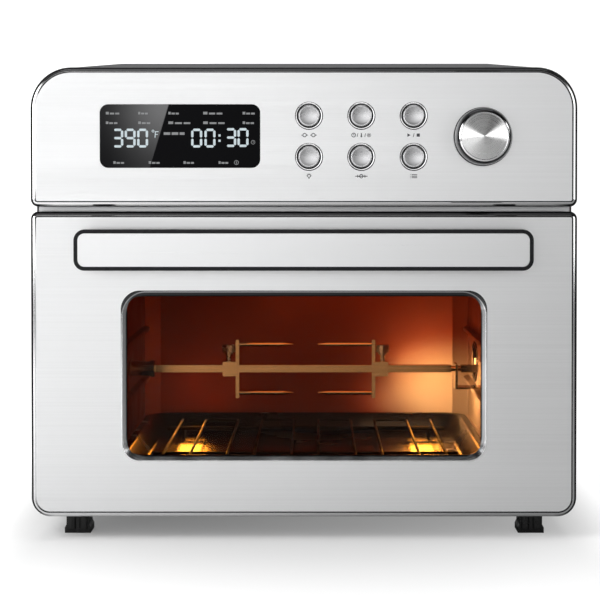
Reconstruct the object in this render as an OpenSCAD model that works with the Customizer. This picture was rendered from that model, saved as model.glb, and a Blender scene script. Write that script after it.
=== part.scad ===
// Countertop air fryer toaster oven: case, cooking cavity, drop-down glass door,
// top fan, rotisserie and digital control panel, as separate pieces.
// Frame: origin on the counter under the middle of the oven, +X to the right of
// someone facing it, +Y to the back, +Z up. Millimetres.

/* [Overall] */
// Width over the control panel and door
body_w = 400; // [380:1:430]
// Height of the control panel's top edge above the counter
body_h = 347; // [340:1:360]
// Depth of the case, from its front frame to its back panel
case_d = 331; // [320:1:360]
// Depth of the control panel and door in front of the case
front_t = 22; // [22:1:26]
// How far the handle stands out of the door
handle_reach = 32; // [30:1:40]
// Depth of the wall spacers behind the back panel
spacer_d = 15; // [10:1:25]
// Height of the base plate above the counter
base_z = 18; // [16:1:20]

/* [Door] */
// Height of the door's top edge
door_top = 241.5; // [238:0.5:242]
// Width of the window opening
window_w = 268; // [240:1:272]
// Height of the window opening
window_h = 125.5; // [110:0.5:130]
// Height of the window's centre above the counter
window_z = 121; // [115:1:125]
// Width of the handle
handle_w = 328; // [280:1:340]
// Height of the handle's face
handle_h = 29.4; // [26:0.2:34]
// Height of the handle's centre above the counter
handle_z = 214.4; // [210:0.2:218]

/* [Cavity] */
// Inner width of the cooking cavity
cavity_w = 290; // [280:1:292]
// Inner depth of the cooking cavity
cavity_d = 280; // [260:1:285]
// Height of the cavity floor above the counter
cavity_floor_z = 30; // [30:1:31]
// Height of the cavity ceiling above the counter
cavity_ceiling_z = 228; // [226:1:229]
// Height of the rotisserie spit above the counter
spit_z = 110; // [108:1:114]

/* [Controls] */
// Width of the display window
display_w = 117.2; // [100:0.2:120]
// Height of the display window
display_h = 46.5; // [40:0.5:50]
// Diameter of the selector knob at its base
knob_d = 43; // [36:1:46]
// Diameter of a push button's cap
button_d = 15.9; // [12:0.1:16]

/* [Hidden] */
$fn = 64;

// Stations along Y, from the handle's face to the wall spacers' tips
total_d = handle_reach + front_t + case_d + spacer_d;
face_y = -total_d / 2 + handle_reach;
frame_y = face_y + front_t;
back_y = frame_y + case_d;
// The door is 2 mm thinner than the control panel, which leaves the gap behind it
door_gap = 2;
door_t = front_t - door_gap;
door_back_y = frame_y - door_gap;

// Sheet thicknesses and the case's outline, set in from the control panel's edge
sheet = 1.2;
cover_sheet = 0.8;
liner = 0.7;
case_in = 1.5;
case_w = body_w - 2 * case_in;
case_top = body_h - case_in;
top_r = 30;
raised_h = 7.3;
field_foot = case_w / 2 - 18.5;
field_flank = 4;
field_fall = 42;
field_drop = 3.2;
foot_dip = 1.8;

// Control panel outline and its rolled rim
panel_z0 = 245;
panel_z1 = body_h;
panel_h = panel_z1 - panel_z0;
panel_z = (panel_z0 + panel_z1) / 2;
small_r = 5.5;
rim_w = 3.2;
groove_w = 0.9;
groove_d = 0.7;

// Door outline
door_z0 = 17.5;
door_h = door_top - door_z0;
door_z = (door_z0 + door_top) / 2;
door_bottom_r = 14;
window_r = 14;
bezel_w = 4.4;

// Door hinge axis, along X
hinge_y = door_back_y - 5;
hinge_z = door_z0 + 6;
hinge_x = 180;
pin_r = 2;
arm_x = 166;
arm_r = 70;

// Closing springs
spring_y = hinge_y + arm_r + 6;
spring_l = 84;

// Cavity
cavity_x = cavity_w / 2;
cavity_y0 = frame_y + sheet;
cavity_y1 = cavity_y0 + cavity_d;
cavity_h = cavity_ceiling_z - cavity_floor_z;
corner_bevel = 13;
rail_levels = [56, 92, 136, 174];
rail_d = 5;
mid_y = (cavity_y0 + cavity_y1) / 2;

// Heaters
rod_r = 3.5;
rod_spots = [[-62, 36], [62, 36], [-92, 214], [92, 214]];
ring_z = 238;
ring_r = 70;
leg_x = 12;
leg_y = -sqrt(ring_r * ring_r - leg_x * leg_x);

// Trays
tray_w = 284;
tray_l = 256;
tray_rim = 6;
tray_rim_z = 57;
tray_deep = 16;
tray_y = cavity_y0 + 14 + tray_l / 2;
rack_l = 214;
rack_z = 53;
rack_pitch = 49.6;
rack_loop = 21;

// Rotisserie
spit_w = 6;
socket_x = -124;
neck_x = 124;
fork_x = 62;

// Controls, as [x, z] on the panel
display_at = [-90.5, 296.6];
knob_at = [130.6, 296.2];
button_x = [3.7, 41.9, 80.1];
button_z = [311.4, 281.4];
button_at = [for (z = button_z) for (x = button_x) [x, z]];
press = 1.2;

// Front board
board_z = 3;
boss_spots = [for (x = [-154, -24, 146]) for (z = [267, 323]) [x, z]];

// Lamp in the right wall, as [y, z]
lamp_at = [45, 111];
lamp_r = 14.5;

foot_spots = [for (x = [-170, 170]) for (y = [frame_y + 19, back_y - 24]) [x, y]];
gland_at = [150, 52];

/* ---- Shared shapes ---- */

// Stands a shape drawn on the XY plane upright at depth y; its +Z faces the front
module face(y, x = 0, z = 0) {
    translate([x, y, z]) rotate([90, 0, 0]) children();
}

// Turns a shape drawn on the XY plane to lie in the YZ plane; its +Z points to +X
module side(x) {
    translate([x, 0, 0]) rotate([90, 0, 90]) children();
}

// Rectangle centred on the origin with one radius for its top and one for its bottom
module rounded(w, h, rt, rb) {
    for (s = [-1, 1]) {
        translate([s * (w / 2 - rt), h / 2 - rt]) circle(rt);
        translate([s * (w / 2 - rb), -h / 2 + rb]) circle(rb);
    }
    translate([-w / 2 + rt, h / 2 - rt]) square([w - 2 * rt, rt]);
    translate([-w / 2 + rb, -h / 2]) square([w - 2 * rb, rb]);
    translate([-w / 2, -h / 2 + rb]) square([w, h - rt - rb]);
}

// Carries a profile round a rounded rectangle. In the profile, X points outward from
// the rectangle's edge and Y is the depth, which comes out along +Z
module edge_sweep(w, h, rt, rb) {
    sides = [
        [0, w / 2, h / 2 - rt, h - rt - rb],
        [90, h / 2, w / 2 - rt, w - 2 * rt],
        [180, w / 2, h / 2 - rb, h - rt - rb],
        [270, h / 2, w / 2 - rb, w - 2 * rb]
    ];
    for (s = sides)
        rotate([0, 0, s[0]]) translate([s[1], s[2], 0]) rotate([90, 0, 0])
            linear_extrude(s[3]) children();
    corners = [
        [0, w / 2 - rt, h / 2 - rt, rt], [90, -w / 2 + rt, h / 2 - rt, rt],
        [180, -w / 2 + rb, -h / 2 + rb, rb], [270, w / 2 - rb, -h / 2 + rb, rb]
    ];
    for (c = corners)
        translate([c[1], c[2], 0]) rotate([0, 0, c[0]])
            rotate_extrude(angle = 90) translate([c[3], 0]) children();
}

// Slot with round ends, long along X
module slot(length, width) {
    square([length - width, width], center = true);
    for (s = [-1, 1]) translate([s * (length - width) / 2, 0]) circle(width / 2, $fn = 24);
}

// Rod of radius r along +X
module rod_x(length, r) { rotate([0, 90, 0]) cylinder(length, r, r); }

// Pan head screw pointing up along +Z, with its head under z = 0
module screw(shank_r, shank_l, head_r, head_h) {
    translate([0, 0, -head_h]) cylinder(head_h, head_r * 0.86, head_r);
    cylinder(shank_l, shank_r, shank_r);
}

/* ---- Case ---- */

// Cross-section of the case, in X and Z, shrunk by inset
module case_outline(inset = 0) {
    w = case_w - 2 * inset;
    z0 = base_z + sheet;
    h = case_top - inset - z0;
    translate([0, z0 + h / 2]) rounded(w, h, top_r - case_in - inset, 0.01);
}

// Raised field of the top cover: steep flanks all round, then a long fall to each side
module raised_field(inset) {
    foot = field_foot - inset;
    shoulder = foot - field_flank;
    crown = foot - field_fall;
    under = case_top - cover_sheet - inset;
    foot_z = under - foot_dip;
    top_z = case_top + raised_h - inset;
    y0 = frame_y + 16 + inset;
    y1 = back_y - 22 - inset;
    intersection() {
        face(y1) linear_extrude(y1 - y0)
            polygon([
                [-foot, foot_z], [20 - foot, under], [foot - 20, under], [foot, foot_z],
                [shoulder, top_z - field_drop], [crown, top_z], [-crown, top_z],
                [-shoulder, top_z - field_drop]
            ]);
        side(-foot) linear_extrude(2 * foot)
            polygon([[y0, foot_z], [y1, foot_z], [y1 - 14, top_z], [y0 + 10, top_z]]);
    }
}

module outer_shell() {
    color([0.14, 0.14, 0.15])
    difference() {
        union() {
            face(back_y - sheet) linear_extrude(case_d - sheet) case_outline();
            raised_field(0);
        }
        face(back_y) linear_extrude(case_d + 2) case_outline(cover_sheet);
        translate([-case_w / 2 + cover_sheet, frame_y - 1, base_z])
            cube([case_w - 2 * cover_sheet, case_d + 2, 12]);
        raised_field(cover_sheet);
        for (s = [-1, 1]) for (i = [0:11]) for (j = [0, 1])
            side(s * case_w / 2 - 3)
                translate([back_y - 60 - 15 * i, 300 - 90 * j])
                    linear_extrude(6) rotate(90) slot(30, 4);
    }
}

module back_panel() {
    color([0.62, 0.63, 0.64])
    difference() {
        face(back_y) linear_extrude(sheet) case_outline();
        for (i = [0:17]) for (j = [0:2])
            face(back_y + 1, -136 + 16 * i, 300 - 30 * j)
                linear_extrude(4) rotate(90) slot(22, 4);
        face(back_y + 1, gland_at[0], gland_at[1]) cylinder(4, 7, 7);
        for (p = back_screw_spots()) face(back_y + 1, p[0], p[1]) cylinder(4, 1.7, 1.7);
    }
}

function back_screw_spots() =
    [for (x = [-186, -62, 62, 186]) for (z = [30, 225]) [x, z]];

module base_plate() {
    color([0.62, 0.63, 0.64])
    difference() {
        translate([-case_w / 2, frame_y, base_z]) cube([case_w, case_d, sheet]);
        for (i = [0:9]) for (j = [-1, 1])
            translate([-117 + 26 * i, 20 + 75 * j, base_z - 1])
                linear_extrude(4) rotate(90) slot(44, 5);
        for (p = foot_spots) translate([p[0], p[1], base_z - 1]) cylinder(4, 1.8, 1.8);
    }
}

// Sheet steel frame that the door closes on and the control panel is fixed to
module front_frame() {
    upper_z0 = 256;
    upper_h = 76;
    color([0.7, 0.71, 0.72])
    difference() {
        face(frame_y + sheet) linear_extrude(sheet) case_outline(sheet + 0.2);
        face(frame_y + 3, 0, (cavity_floor_z + cavity_ceiling_z) / 2)
            linear_extrude(8) rounded(cavity_w, cavity_h, 5, 5);
        face(frame_y + 3, 0, upper_z0 + upper_h / 2)
            linear_extrude(8) rounded(360, upper_h, 12, 6);
        for (s = [-1, 1]) {
            translate([s * arm_x - 2.5, frame_y - 1, 87]) cube([5, 4, 12]);
            translate([s * hinge_x - 3, frame_y - 1, base_z - 1]) cube([6, 4, 12]);
        }
    }
}

// One foot: a plinth under a slimmer ribbed pedestal, screwed on from below
module foot() {
    rib_r = 3.6;
    difference() {
        union() {
            rotate([90, 0, 0]) translate([0, 0, -11]) linear_extrude(22)
                polygon([[-9.7, 0], [9.7, 0], [9.7, 4], [8.4, 6.5], [8.4, base_z],
                    [-8.4, base_z], [-8.4, 6.5], [-9.7, 4]]);
            for (x = [-1, 1]) for (y = [-1, 1])
                translate([x * 4.4, y * 9.2, 3]) cylinder(base_z - 3, rib_r, rib_r);
        }
        translate([0, 0, -1]) cylinder(8, 4.5, 4.5);
        cylinder(base_z + 1, 1.8, 1.8);
    }
}

module feet() {
    color([0.05, 0.05, 0.05])
    for (p = foot_spots) translate([p[0], p[1], 0]) foot();
}

module case_screws() {
    color([0.75, 0.75, 0.76]) {
        for (p = foot_spots) translate([p[0], p[1], 7]) screw(1.7, 15, 3.8, 2.4);
        for (p = back_screw_spots()) face(back_y, p[0], p[1]) screw(1.6, 8, 3.6, 2);
    }
}

module wall_spacers() {
    color([0.05, 0.05, 0.05])
    for (s = [-1, 1]) translate([s * 150, back_y, 322]) {
        translate([-16, 0, -11]) cube([32, 3, 22]);
        translate([-11, 3, -7]) cube([22, spacer_d - 3, 14]);
    }
}

// Bush in the back panel that the mains lead passes through
module cord_gland() {
    color([0.06, 0.06, 0.06])
    translate([gland_at[0], back_y - sheet, gland_at[1]]) rotate([-90, 0, 0])
    difference() {
        union() {
            translate([0, 0, -6]) cylinder(6, 9, 9);
            cylinder(sheet, 6.9, 6.9);
            translate([0, 0, sheet]) cylinder(7, 9, 8);
        }
        translate([0, 0, -7]) cylinder(20, 4, 4);
    }
}

/* ---- Cavity ---- */

// Pressed side wall with four pairs of rack rails; holes is the child it is cut by
module side_wall(s) {
    difference() {
        union() {
            side(s > 0 ? cavity_x : -cavity_x - liner)
                linear_extrude(liner)
                    translate([cavity_y0, cavity_floor_z]) square([cavity_d - liner, cavity_h]);
            for (z = rail_levels)
                face(cavity_y1 - 20) linear_extrude(cavity_d - 26)
                    polygon([[s * cavity_x, z], [s * (cavity_x - rail_d), z - 1],
                        [s * (cavity_x - rail_d), z - 4], [s * cavity_x, z - 6]]);
        }
        children();
    }
}

module rod_holes() {
    for (p = rod_spots) translate([-cavity_x - 6, p[0], p[1]]) rod_x(cavity_w + 12, 5.5);
}

module cavity_left_wall() {
    color([0.72, 0.7, 0.66])
    side_wall(-1) {
        union() {
            rod_holes();
            translate([-cavity_x - 6, mid_y, spit_z]) rod_x(12, 8);
        }
    }
}

module cavity_right_wall() {
    color([0.72, 0.7, 0.66])
    side_wall(1) {
        union() {
            rod_holes();
            translate([cavity_x - 6, lamp_at[0], lamp_at[1]]) rod_x(12, lamp_r);
        }
    }
}

// Back wall with bevelled upright corners
module cavity_back_wall() {
    b = corner_bevel;
    outer = [
        [-cavity_x, cavity_y1 - b], [-cavity_x + b, cavity_y1 - liner],
        [cavity_x - b, cavity_y1 - liner], [cavity_x, cavity_y1 - b]
    ];
    color([0.72, 0.7, 0.66])
    translate([0, 0, cavity_floor_z]) linear_extrude(cavity_h)
        polygon(concat(outer, [
            [cavity_x, cavity_y1 - b + 1.4], [cavity_x - b + 0.4, cavity_y1],
            [-cavity_x + b - 0.4, cavity_y1], [-cavity_x, cavity_y1 - b + 1.4]
        ]));
}

module cavity_floor() {
    color([0.72, 0.7, 0.66])
    translate([-cavity_x - liner, cavity_y0, cavity_floor_z - liner])
        cube([cavity_w + 2 * liner, cavity_d, liner]);
}

module cavity_ceiling() {
    color([0.72, 0.7, 0.66])
    difference() {
        translate([-cavity_x - liner, cavity_y0, cavity_ceiling_z])
            cube([cavity_w + 2 * liner, cavity_d, liner]);
        translate([0, mid_y, cavity_ceiling_z - 1]) cylinder(3, 75, 75);
    }
}

/* ---- Fan and heaters ---- */

module fan_guard() {
    rings = [[20, 8, 4], [36, 14, 4], [52, 20, 4], [66, 26, 3.4]];
    color([0.7, 0.69, 0.66])
    translate([0, mid_y, cavity_ceiling_z - 2.5])
    difference() {
        cylinder(2.5, 82, 82);
        translate([0, 0, 1]) cylinder(2, 76, 76);
        for (r = rings) for (i = [0:r[1] - 1])
            rotate([0, 0, 360 * i / r[1]]) translate([r[0], 0, -1])
                cylinder(4, r[2], r[2], $fn = 24);
    }
}

module fan_housing() {
    h = 34;
    color([0.72, 0.72, 0.7])
    translate([0, mid_y, cavity_ceiling_z + liner])
    difference() {
        union() {
            cylinder(liner, 90, 90);
            cylinder(h, 84, 84);
        }
        translate([0, 0, -1]) cylinder(h, 83, 83);
        cylinder(h + 2, 5, 5);
        for (s = [-1, 1]) translate([s * leg_x, leg_y, 0]) cylinder(h + 2, 4, 4);
    }
}

// Ring heater round the fan, its two cold legs rising through the housing
module ring_heater() {
    color([0.35, 0.33, 0.3])
    translate([0, mid_y, ring_z]) {
        rotate_extrude() translate([ring_r, 0]) circle(3.25, $fn = 32);
        for (s = [-1, 1]) translate([s * leg_x, leg_y, 0]) cylinder(34, 2.8, 2.8);
    }
}

module rod_heaters() {
    color([0.75, 0.7, 0.66])
    for (p = rod_spots) translate([-cavity_x - 14, p[0], p[1]]) rod_x(cavity_w + 28, rod_r);
}

// Ceramic bushings that carry the heater rods through the side walls
module heater_bushings() {
    color([0.93, 0.91, 0.85])
    for (p = rod_spots) for (s = [-1, 1])
        translate([s * cavity_x, p[0], p[1]]) rotate([0, s * 90, 0])
        difference() {
            union() {
                translate([0, 0, -3]) cylinder(4.5, 5.4, 5.4);
                translate([0, 0, liner]) cylinder(9, 8, 7);
            }
            translate([0, 0, -4]) cylinder(16, rod_r + 0.05, rod_r + 0.05);
        }
}

module fan_motor() {
    z = 272;
    color([0.42, 0.43, 0.45])
    translate([0, mid_y, z])
    difference() {
        union() {
            translate([-31, -25, 0]) cube([62, 50, 18]);
            translate([-18, -28, 2]) cube([36, 56, 14]);
            translate([0, 0, -4]) cylinder(26, 12, 12);
            for (a = [45, 225]) rotate([0, 0, a]) translate([44, 0, -9]) cylinder(26, 4, 4);
            rotate([0, 0, 45]) translate([-48, -5, 4]) cube([96, 10, 3]);
        }
        translate([0, 0, -10]) cylinder(40, 2.6, 2.6);
    }
}

module fan_shaft() {
    color([0.8, 0.8, 0.82])
    translate([0, mid_y, 234]) cylinder(66, 2.5, 2.5);
}

// Flat disc with upright paddles on a hub
module fan_blade() {
    r = 60;
    h = 18;
    hub_r = 7;
    thick = 1.2;
    count = 10;
    color([0.78, 0.79, 0.8])
    translate([0, mid_y, 237])
    difference() {
        union() {
            translate([0, 0, h - thick]) cylinder(thick, r, r);
            cylinder(h, hub_r, hub_r);
            for (i = [0:count - 1]) rotate([0, 0, 360 * i / count])
                translate([hub_r + 10, -thick / 2, 0]) cube([r - hub_r - 11, thick, h]);
        }
        translate([0, 0, -1]) cylinder(h + 2, 2.5, 2.5);
    }
}

/* ---- Lamp ---- */

// Halogen capsule with its lamp holder behind it
module lamp_bulb() {
    color([1, 0.9, 0.7])
    translate([cavity_x + 5, lamp_at[0], lamp_at[1]]) rotate([0, 90, 0])
        rotate_extrude()
            polygon([[0, -4], [1.8, -3.6], [3.2, -2.4], [4, -0.6], [4, 1], [3.2, 3],
                [3.2, 18], [9, 18], [9, 32], [0, 32]]);
}

// Domed glass cover in a flanged ring, seated in the right wall
module lamp_lens() {
    color([0.9, 0.9, 0.85])
    translate([cavity_x, lamp_at[0], lamp_at[1]]) rotate([0, -90, 0])
        rotate_extrude()
            polygon([[lamp_r + 3, 0], [lamp_r + 3, 1.2], [lamp_r - 2, 3.2], [0, 4],
                [0, 2], [lamp_r - 3, 1.2], [lamp_r - 3, -6], [lamp_r - 0.1, -6],
                [lamp_r - 0.1, 0]]);
}

/* ---- Rotisserie ---- */

module rotisserie_motor() {
    x1 = -cavity_x - liner;
    color([0.6, 0.62, 0.64])
    translate([x1, mid_y, spit_z]) rotate([0, -90, 0])
    difference() {
        union() {
            cylinder(22, 25, 25);
            translate([-30, -6, 0]) cube([60, 12, 1.5]);
            translate([-16, -9, 22]) cube([32, 18, 4]);
        }
        translate([0, 0, -1]) cylinder(16, 6.08, 6.08);
    }
}

// Turning socket that takes the spit's square end
module drive_socket() {
    length = 34;
    color([0.8, 0.78, 0.72])
    translate([socket_x - length, mid_y, spit_z])
    difference() {
        union() {
            rod_x(length, 6);
            translate([length - 4, 0, 0]) rod_x(4, 7);
        }
        translate([10, -(spit_w + 0.4) / 2, -(spit_w + 0.4) / 2])
            cube([length, spit_w + 0.4, spit_w + 0.4]);
    }
}

// Square spit: point at the left, a turned neck and a square grip at the right
module spit_rod() {
    w = spit_w;
    x0 = socket_x - 14;
    color([0.82, 0.8, 0.76])
    translate([0, mid_y, spit_z]) {
        translate([x0, -w / 2, -w / 2]) cube([neck_x - 4 - x0, w, w]);
        translate([x0, 0, 0]) rotate([0, -90, 0]) rotate([0, 0, 45])
            cylinder(6, w / sqrt(2), 0.6, $fn = 4);
        translate([neck_x - 4, 0, 0]) rod_x(8, 2.3);
        translate([neck_x + 4, -w / 2, -w / 2]) cube([cavity_x - neck_x - 7, w, w]);
    }
}

// Bent steel cradle that the spit's neck turns in
module spit_bracket() {
    color([0.75, 0.73, 0.7])
    translate([0, mid_y, spit_z])
    difference() {
        union() {
            translate([cavity_x - 1.2, -14, -16]) cube([1.2, 28, 22]);
            translate([neck_x - 1, -9, -16]) cube([cavity_x - neck_x + 1, 18, 1.2]);
            translate([neck_x - 1, -9, -16]) cube([2, 18, 20]);
        }
        translate([neck_x - 2, 0, 0]) rod_x(4, 2.6);
        translate([neck_x - 2, -2.6, 0]) cube([4, 5.2, 6]);
    }
}

// Two-pronged meat fork, prongs pointing to the middle; s is the side it stands on
module fork(s) {
    hub = 6;
    hole = spit_w + 0.2;
    color([0.82, 0.8, 0.76])
    translate([s * fork_x, mid_y, spit_z])
    difference() {
        union() {
            translate([-hub, -hub, -hub]) cube([2 * hub, 2 * hub, 2 * hub]);
            translate([-s * hub - 1.5, -5, -24]) cube([3, 10, 48]);
            for (z = [-20, 20]) translate([-s * hub, 0, z]) rotate([0, -s * 90, 0]) {
                cylinder(38, 1.8, 1.8, $fn = 32);
                translate([0, 0, 38]) cylinder(8, 1.8, 0.4, $fn = 32);
            }
        }
        translate([-10, -hole / 2, -hole / 2]) cube([20, hole, hole]);
        translate([s * 1.5, 0, 0]) cylinder(hub + 1, 2.05, 2.05, $fn = 32);
    }
}

// Thumbscrew that clamps a fork to the spit
module fork_screw(s) {
    color([0.75, 0.73, 0.7])
    translate([s * (fork_x + 1.5), mid_y, spit_z]) {
        translate([0, 0, spit_w / 2 + 0.15]) cylinder(8.5, 2, 2, $fn = 32);
        translate([0, 0, 11.5]) cylinder(2, 3.6, 3.6, $fn = 32);
        translate([0, 0, 13.5]) cylinder(6, 5.4, 5.4, $fn = 12);
    }
}

module fork_left() { fork(-1); }
module fork_right() { fork(1); }
module fork_screw_left() { fork_screw(-1); }
module fork_screw_right() { fork_screw(1); }

/* ---- Trays ---- */

// Flat tray on the cavity floor, with a turned-up front edge to pull it by
module crumb_tray() {
    color([0.68, 0.67, 0.65])
    translate([-138, cavity_y0 + 10, cavity_floor_z + 0.2]) {
        cube([276, 256, 0.8]);
        cube([276, 0.8, 5]);
        translate([98, 0, 4]) cube([80, 5, 1]);
    }
}

// Tray outline with sloping sides from the rim down to the floor, shrunk by a wall
module tray_solid(shrink) {
    w = tray_w - 2 * (tray_rim + shrink);
    l = tray_l - 2 * (tray_rim + shrink);
    slope = 20;
    hull() {
        translate([0, tray_y, tray_rim_z - tray_deep + shrink]) linear_extrude(0.01)
            rounded(w - slope, l - slope, 14, 14, $fn = 32);
        translate([0, tray_y, tray_rim_z + 0.01]) linear_extrude(0.01)
            rounded(w, l, 20, 20, $fn = 32);
    }
}

// Shallow enamelled tray, hung on the lowest rails by its flat rim
module baking_tray() {
    color([0.06, 0.06, 0.06])
    difference() {
        union() {
            translate([0, tray_y, tray_rim_z - 1])
                linear_extrude(1.2) rounded(tray_w, tray_l, 24, 24, $fn = 32);
            tray_solid(0);
        }
        translate([0, 0, 0.2]) tray_solid(1);
    }
}

// Serpentine wire rack that stands in the tray: pairs of wires joined by U-bends, laid
// on two cross wires with legs
module wire_rack() {
    r = 1.5;
    cross_r = 1.8;
    cross_x = 122;
    leg_at = 106;
    leg_z = tray_rim_z - tray_deep + 1.2;
    y0 = tray_y - rack_l / 2;
    gap = rack_pitch - rack_loop;
    color([0.8, 0.79, 0.77]) {
        translate([0, 0, rack_z]) {
            for (i = [-2:2]) translate([i * rack_pitch, y0, 0]) {
                for (s = [-1, 1]) translate([s * rack_loop / 2, 0, 0]) {
                    rotate([-90, 0, 0]) cylinder(rack_l, r, r, $fn = 24);
                    sphere(r, $fn = 24);
                }
                translate([-rack_loop / 2, 0, 0]) rod_x(rack_loop, r, $fn = 24);
            }
            for (i = [-1.5:1:1.5])
                translate([i * rack_pitch - gap / 2, y0 + rack_l, 0]) {
                    rod_x(gap, r, $fn = 24);
                    for (x = [0, gap]) translate([x, 0, 0]) sphere(r, $fn = 24);
                }
        }
        for (y = [34, rack_l - 34]) translate([0, y0 + y, rack_z - r - cross_r + 0.5]) {
            translate([-cross_x, 0, 0]) rod_x(2 * cross_x, cross_r, $fn = 24);
            for (x = [-leg_at, leg_at])
                translate([x, 0, leg_z - rack_z + r + cross_r - 0.5])
                    cylinder(rack_z - r - 0.5 - leg_z, 1.4, 1.4, $fn = 24);
        }
    }
}

/* ---- Control panel ---- */

// Profile of the panel and door edge: side wall, rounded rim and the groove inside it.
// depth is from the wall's back edge to the front face, cut_back shortens the wall, and
// lip turns its back edge inward
module rim_profile(depth, cut_back = 0, lip = sheet) {
    polygon([
        [-sheet, cut_back + sheet], [-lip, cut_back + sheet],
        [-lip, cut_back], [0, cut_back], [0, depth - 3.2], [-0.25, depth - 2],
        [-0.9, depth - 0.95], [-1.9, depth - 0.25], [-3, depth],
        [-rim_w, depth - 0.15], [-rim_w, depth - groove_d],
        [-rim_w - groove_w, depth - groove_d], [-rim_w - groove_w, depth - sheet - groove_d],
        [-sheet, depth - sheet - groove_d]
    ]);
}

module panel_holes(depth) {
    translate([display_at[0], display_at[1] - panel_z, 0])
        linear_extrude(depth) rounded(display_w, display_h, 6.3, 6.3);
    for (p = button_at) translate([p[0], p[1] - panel_z, 0]) cylinder(depth, 9.5, 9.5);
    translate([knob_at[0], knob_at[1] - panel_z, 0]) cylinder(depth, 4.6, 4.6);
}

module control_fascia() {
    inset = rim_w + groove_w;
    color([0.88, 0.89, 0.89])
    face(frame_y, 0, panel_z) {
        edge_sweep(body_w, panel_h, top_r, small_r) rim_profile(front_t, 0, 5);
        difference() {
            translate([0, 0, front_t - sheet - groove_d])
                linear_extrude(sheet + groove_d)
                    rounded(body_w - 2 * inset, panel_h - 2 * inset, top_r - inset, 0.3);
            panel_holes(front_t + 1);
        }
    }
}

// Moulded carrier behind the fascia, with bosses that the front board is screwed to
module fascia_carrier() {
    back = front_t - sheet - groove_d - 3;
    color([0.12, 0.12, 0.12])
    face(frame_y) {
        translate([0, panel_z, 0])
        difference() {
            translate([0, 0, back])
                linear_extrude(3) rounded(body_w - 8, panel_h - 8, top_r - 4, 3);
            translate([display_at[0], display_at[1] - panel_z, 0]) linear_extrude(front_t)
                rounded(display_w + 0.6, display_h + 0.6, 6.5, 6.5);
            for (p = button_at) translate([p[0], p[1] - panel_z, 0])
                cylinder(front_t, 9.5, 9.5);
            translate([knob_at[0], knob_at[1] - panel_z, 0]) cylinder(front_t, 4.6, 4.6);
        }
        for (p = boss_spots) translate([p[0], p[1], board_z + 1.6])
            cylinder(back - board_z - 1.6, 2.6, 2.6);
    }
}

// Display window, backed by the lamp block on the board
module display_lens() {
    t = 6.9;
    color([0.02, 0.02, 0.02])
    face(frame_y, display_at[0], display_at[1])
        translate([0, 0, front_t + 0.5 - t])
            linear_extrude(t) rounded(display_w - 0.3, display_h - 0.3, 6.1, 6.1);
}

// Board with the display block, six tactile switches and the encoder's seat
module control_board() {
    color([0.05, 0.25, 0.12])
    face(frame_y) {
        translate([-158, 262, board_z]) cube([308, 66, 1.6]);
        translate([display_at[0] - 50, display_at[1] - 17, board_z + 1.6])
            cube([100, 34, 11]);
        for (p = button_at) {
            translate([p[0] - 3, p[1] - 3, board_z + 1.6]) cube([6, 6, 3.4]);
            translate([p[0], p[1], board_z + 5]) cylinder(0.6, 1.7, 1.7);
        }
    }
}

// Mains board on stand-offs over the cavity's back left corner
module power_board() {
    x0 = -140;
    y0 = 86;
    z = 254;
    color([0.05, 0.25, 0.12])
    translate([x0, y0, z]) {
        cube([82, 44, 1.6]);
        translate([8, 8, 1.6]) cube([28, 28, 26]);
        for (i = [0, 1]) translate([44 + 17 * i, 10, 1.6]) cube([13, 15, 16]);
        translate([60, 35, 1.6]) cylinder(20, 6, 6);
        for (p = [[4, 4], [78, 4], [4, 40], [78, 40]])
            translate([p[0], p[1], cavity_ceiling_z + liner - z])
                cylinder(z - cavity_ceiling_z - liner, 2, 2);
    }
}

module encoder() {
    color([0.6, 0.61, 0.62])
    face(frame_y, knob_at[0], knob_at[1])
    difference() {
        union() {
            translate([-6.5, -6.5, board_z + 1.6]) cube([13, 13, 7]);
            translate([0, 0, 11]) cylinder(11, 4.5, 4.5);
        }
        translate([0, 0, 7]) cylinder(20, 3.08, 3.08);
    }
}

module encoder_shaft() {
    color([0.75, 0.75, 0.76])
    face(frame_y, knob_at[0], knob_at[1]) translate([0, 0, 7.2]) cylinder(28, 3, 3);
}

// Selector knob: thin foot ring, leaning flank and a dished face
module knob() {
    r = knob_d / 2;
    h = 15;
    color([0.85, 0.86, 0.87])
    face(frame_y, knob_at[0], knob_at[1]) translate([0, 0, front_t + 0.6])
        rotate_extrude($fn = 96)
            polygon([
                [3, 0], [r - 0.6, 0], [r, 0.6], [r, 2.2], [r - 0.5, 2.8],
                [r - 1, 3.2], [r - 3, h - 1.6], [r - 3.5, h - 0.6], [r - 4, h - 0.2],
                [r - 4.4, h - 0.4], [0, h - 0.4], [0, 12.6], [3, 12.6]
            ]);
}

// Raised chrome collar that each button slides in
module button_rings() {
    bore = button_d / 2 + 0.1;
    color([0.85, 0.86, 0.87])
    for (p = button_at) face(frame_y, p[0], p[1])
        rotate_extrude()
            polygon([
                [bore, 16.4], [9.4, 16.4], [9.4, front_t], [10.2, front_t],
                [10.2, front_t + 0.4], [9.6, front_t + 0.9], [8.9, front_t + 0.9],
                [bore, front_t + 0.4]
            ]);
}

// Push button: cap, retaining flange and the stem that meets the switch
module button(i) {
    r = button_d / 2;
    stem_z = board_z + 5.8 + press;
    color([0.8, 0.81, 0.82])
    face(frame_y, button_at[i][0], button_at[i][1])
        rotate_extrude()
            polygon([
                [0, stem_z], [2, stem_z], [2, 14.6], [8.9, 14.6], [8.9, 16.3],
                [r, 16.3], [r, front_t + 0.3], [r - 0.5, front_t + 0.8],
                [r - 2, front_t + 1.1], [0, front_t + 1.3]
            ]);
}

module button_1() { button(0); }
module button_2() { button(1); }
module button_3() { button(2); }
module button_4() { button(3); }
module button_5() { button(4); }
module button_6() { button(5); }

/* ---- Door ---- */

// Places a shape on the door's upright plane; its +Z runs from the door's back forward
module on_door(z = door_z) { face(door_back_y, 0, z) children(); }

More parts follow.
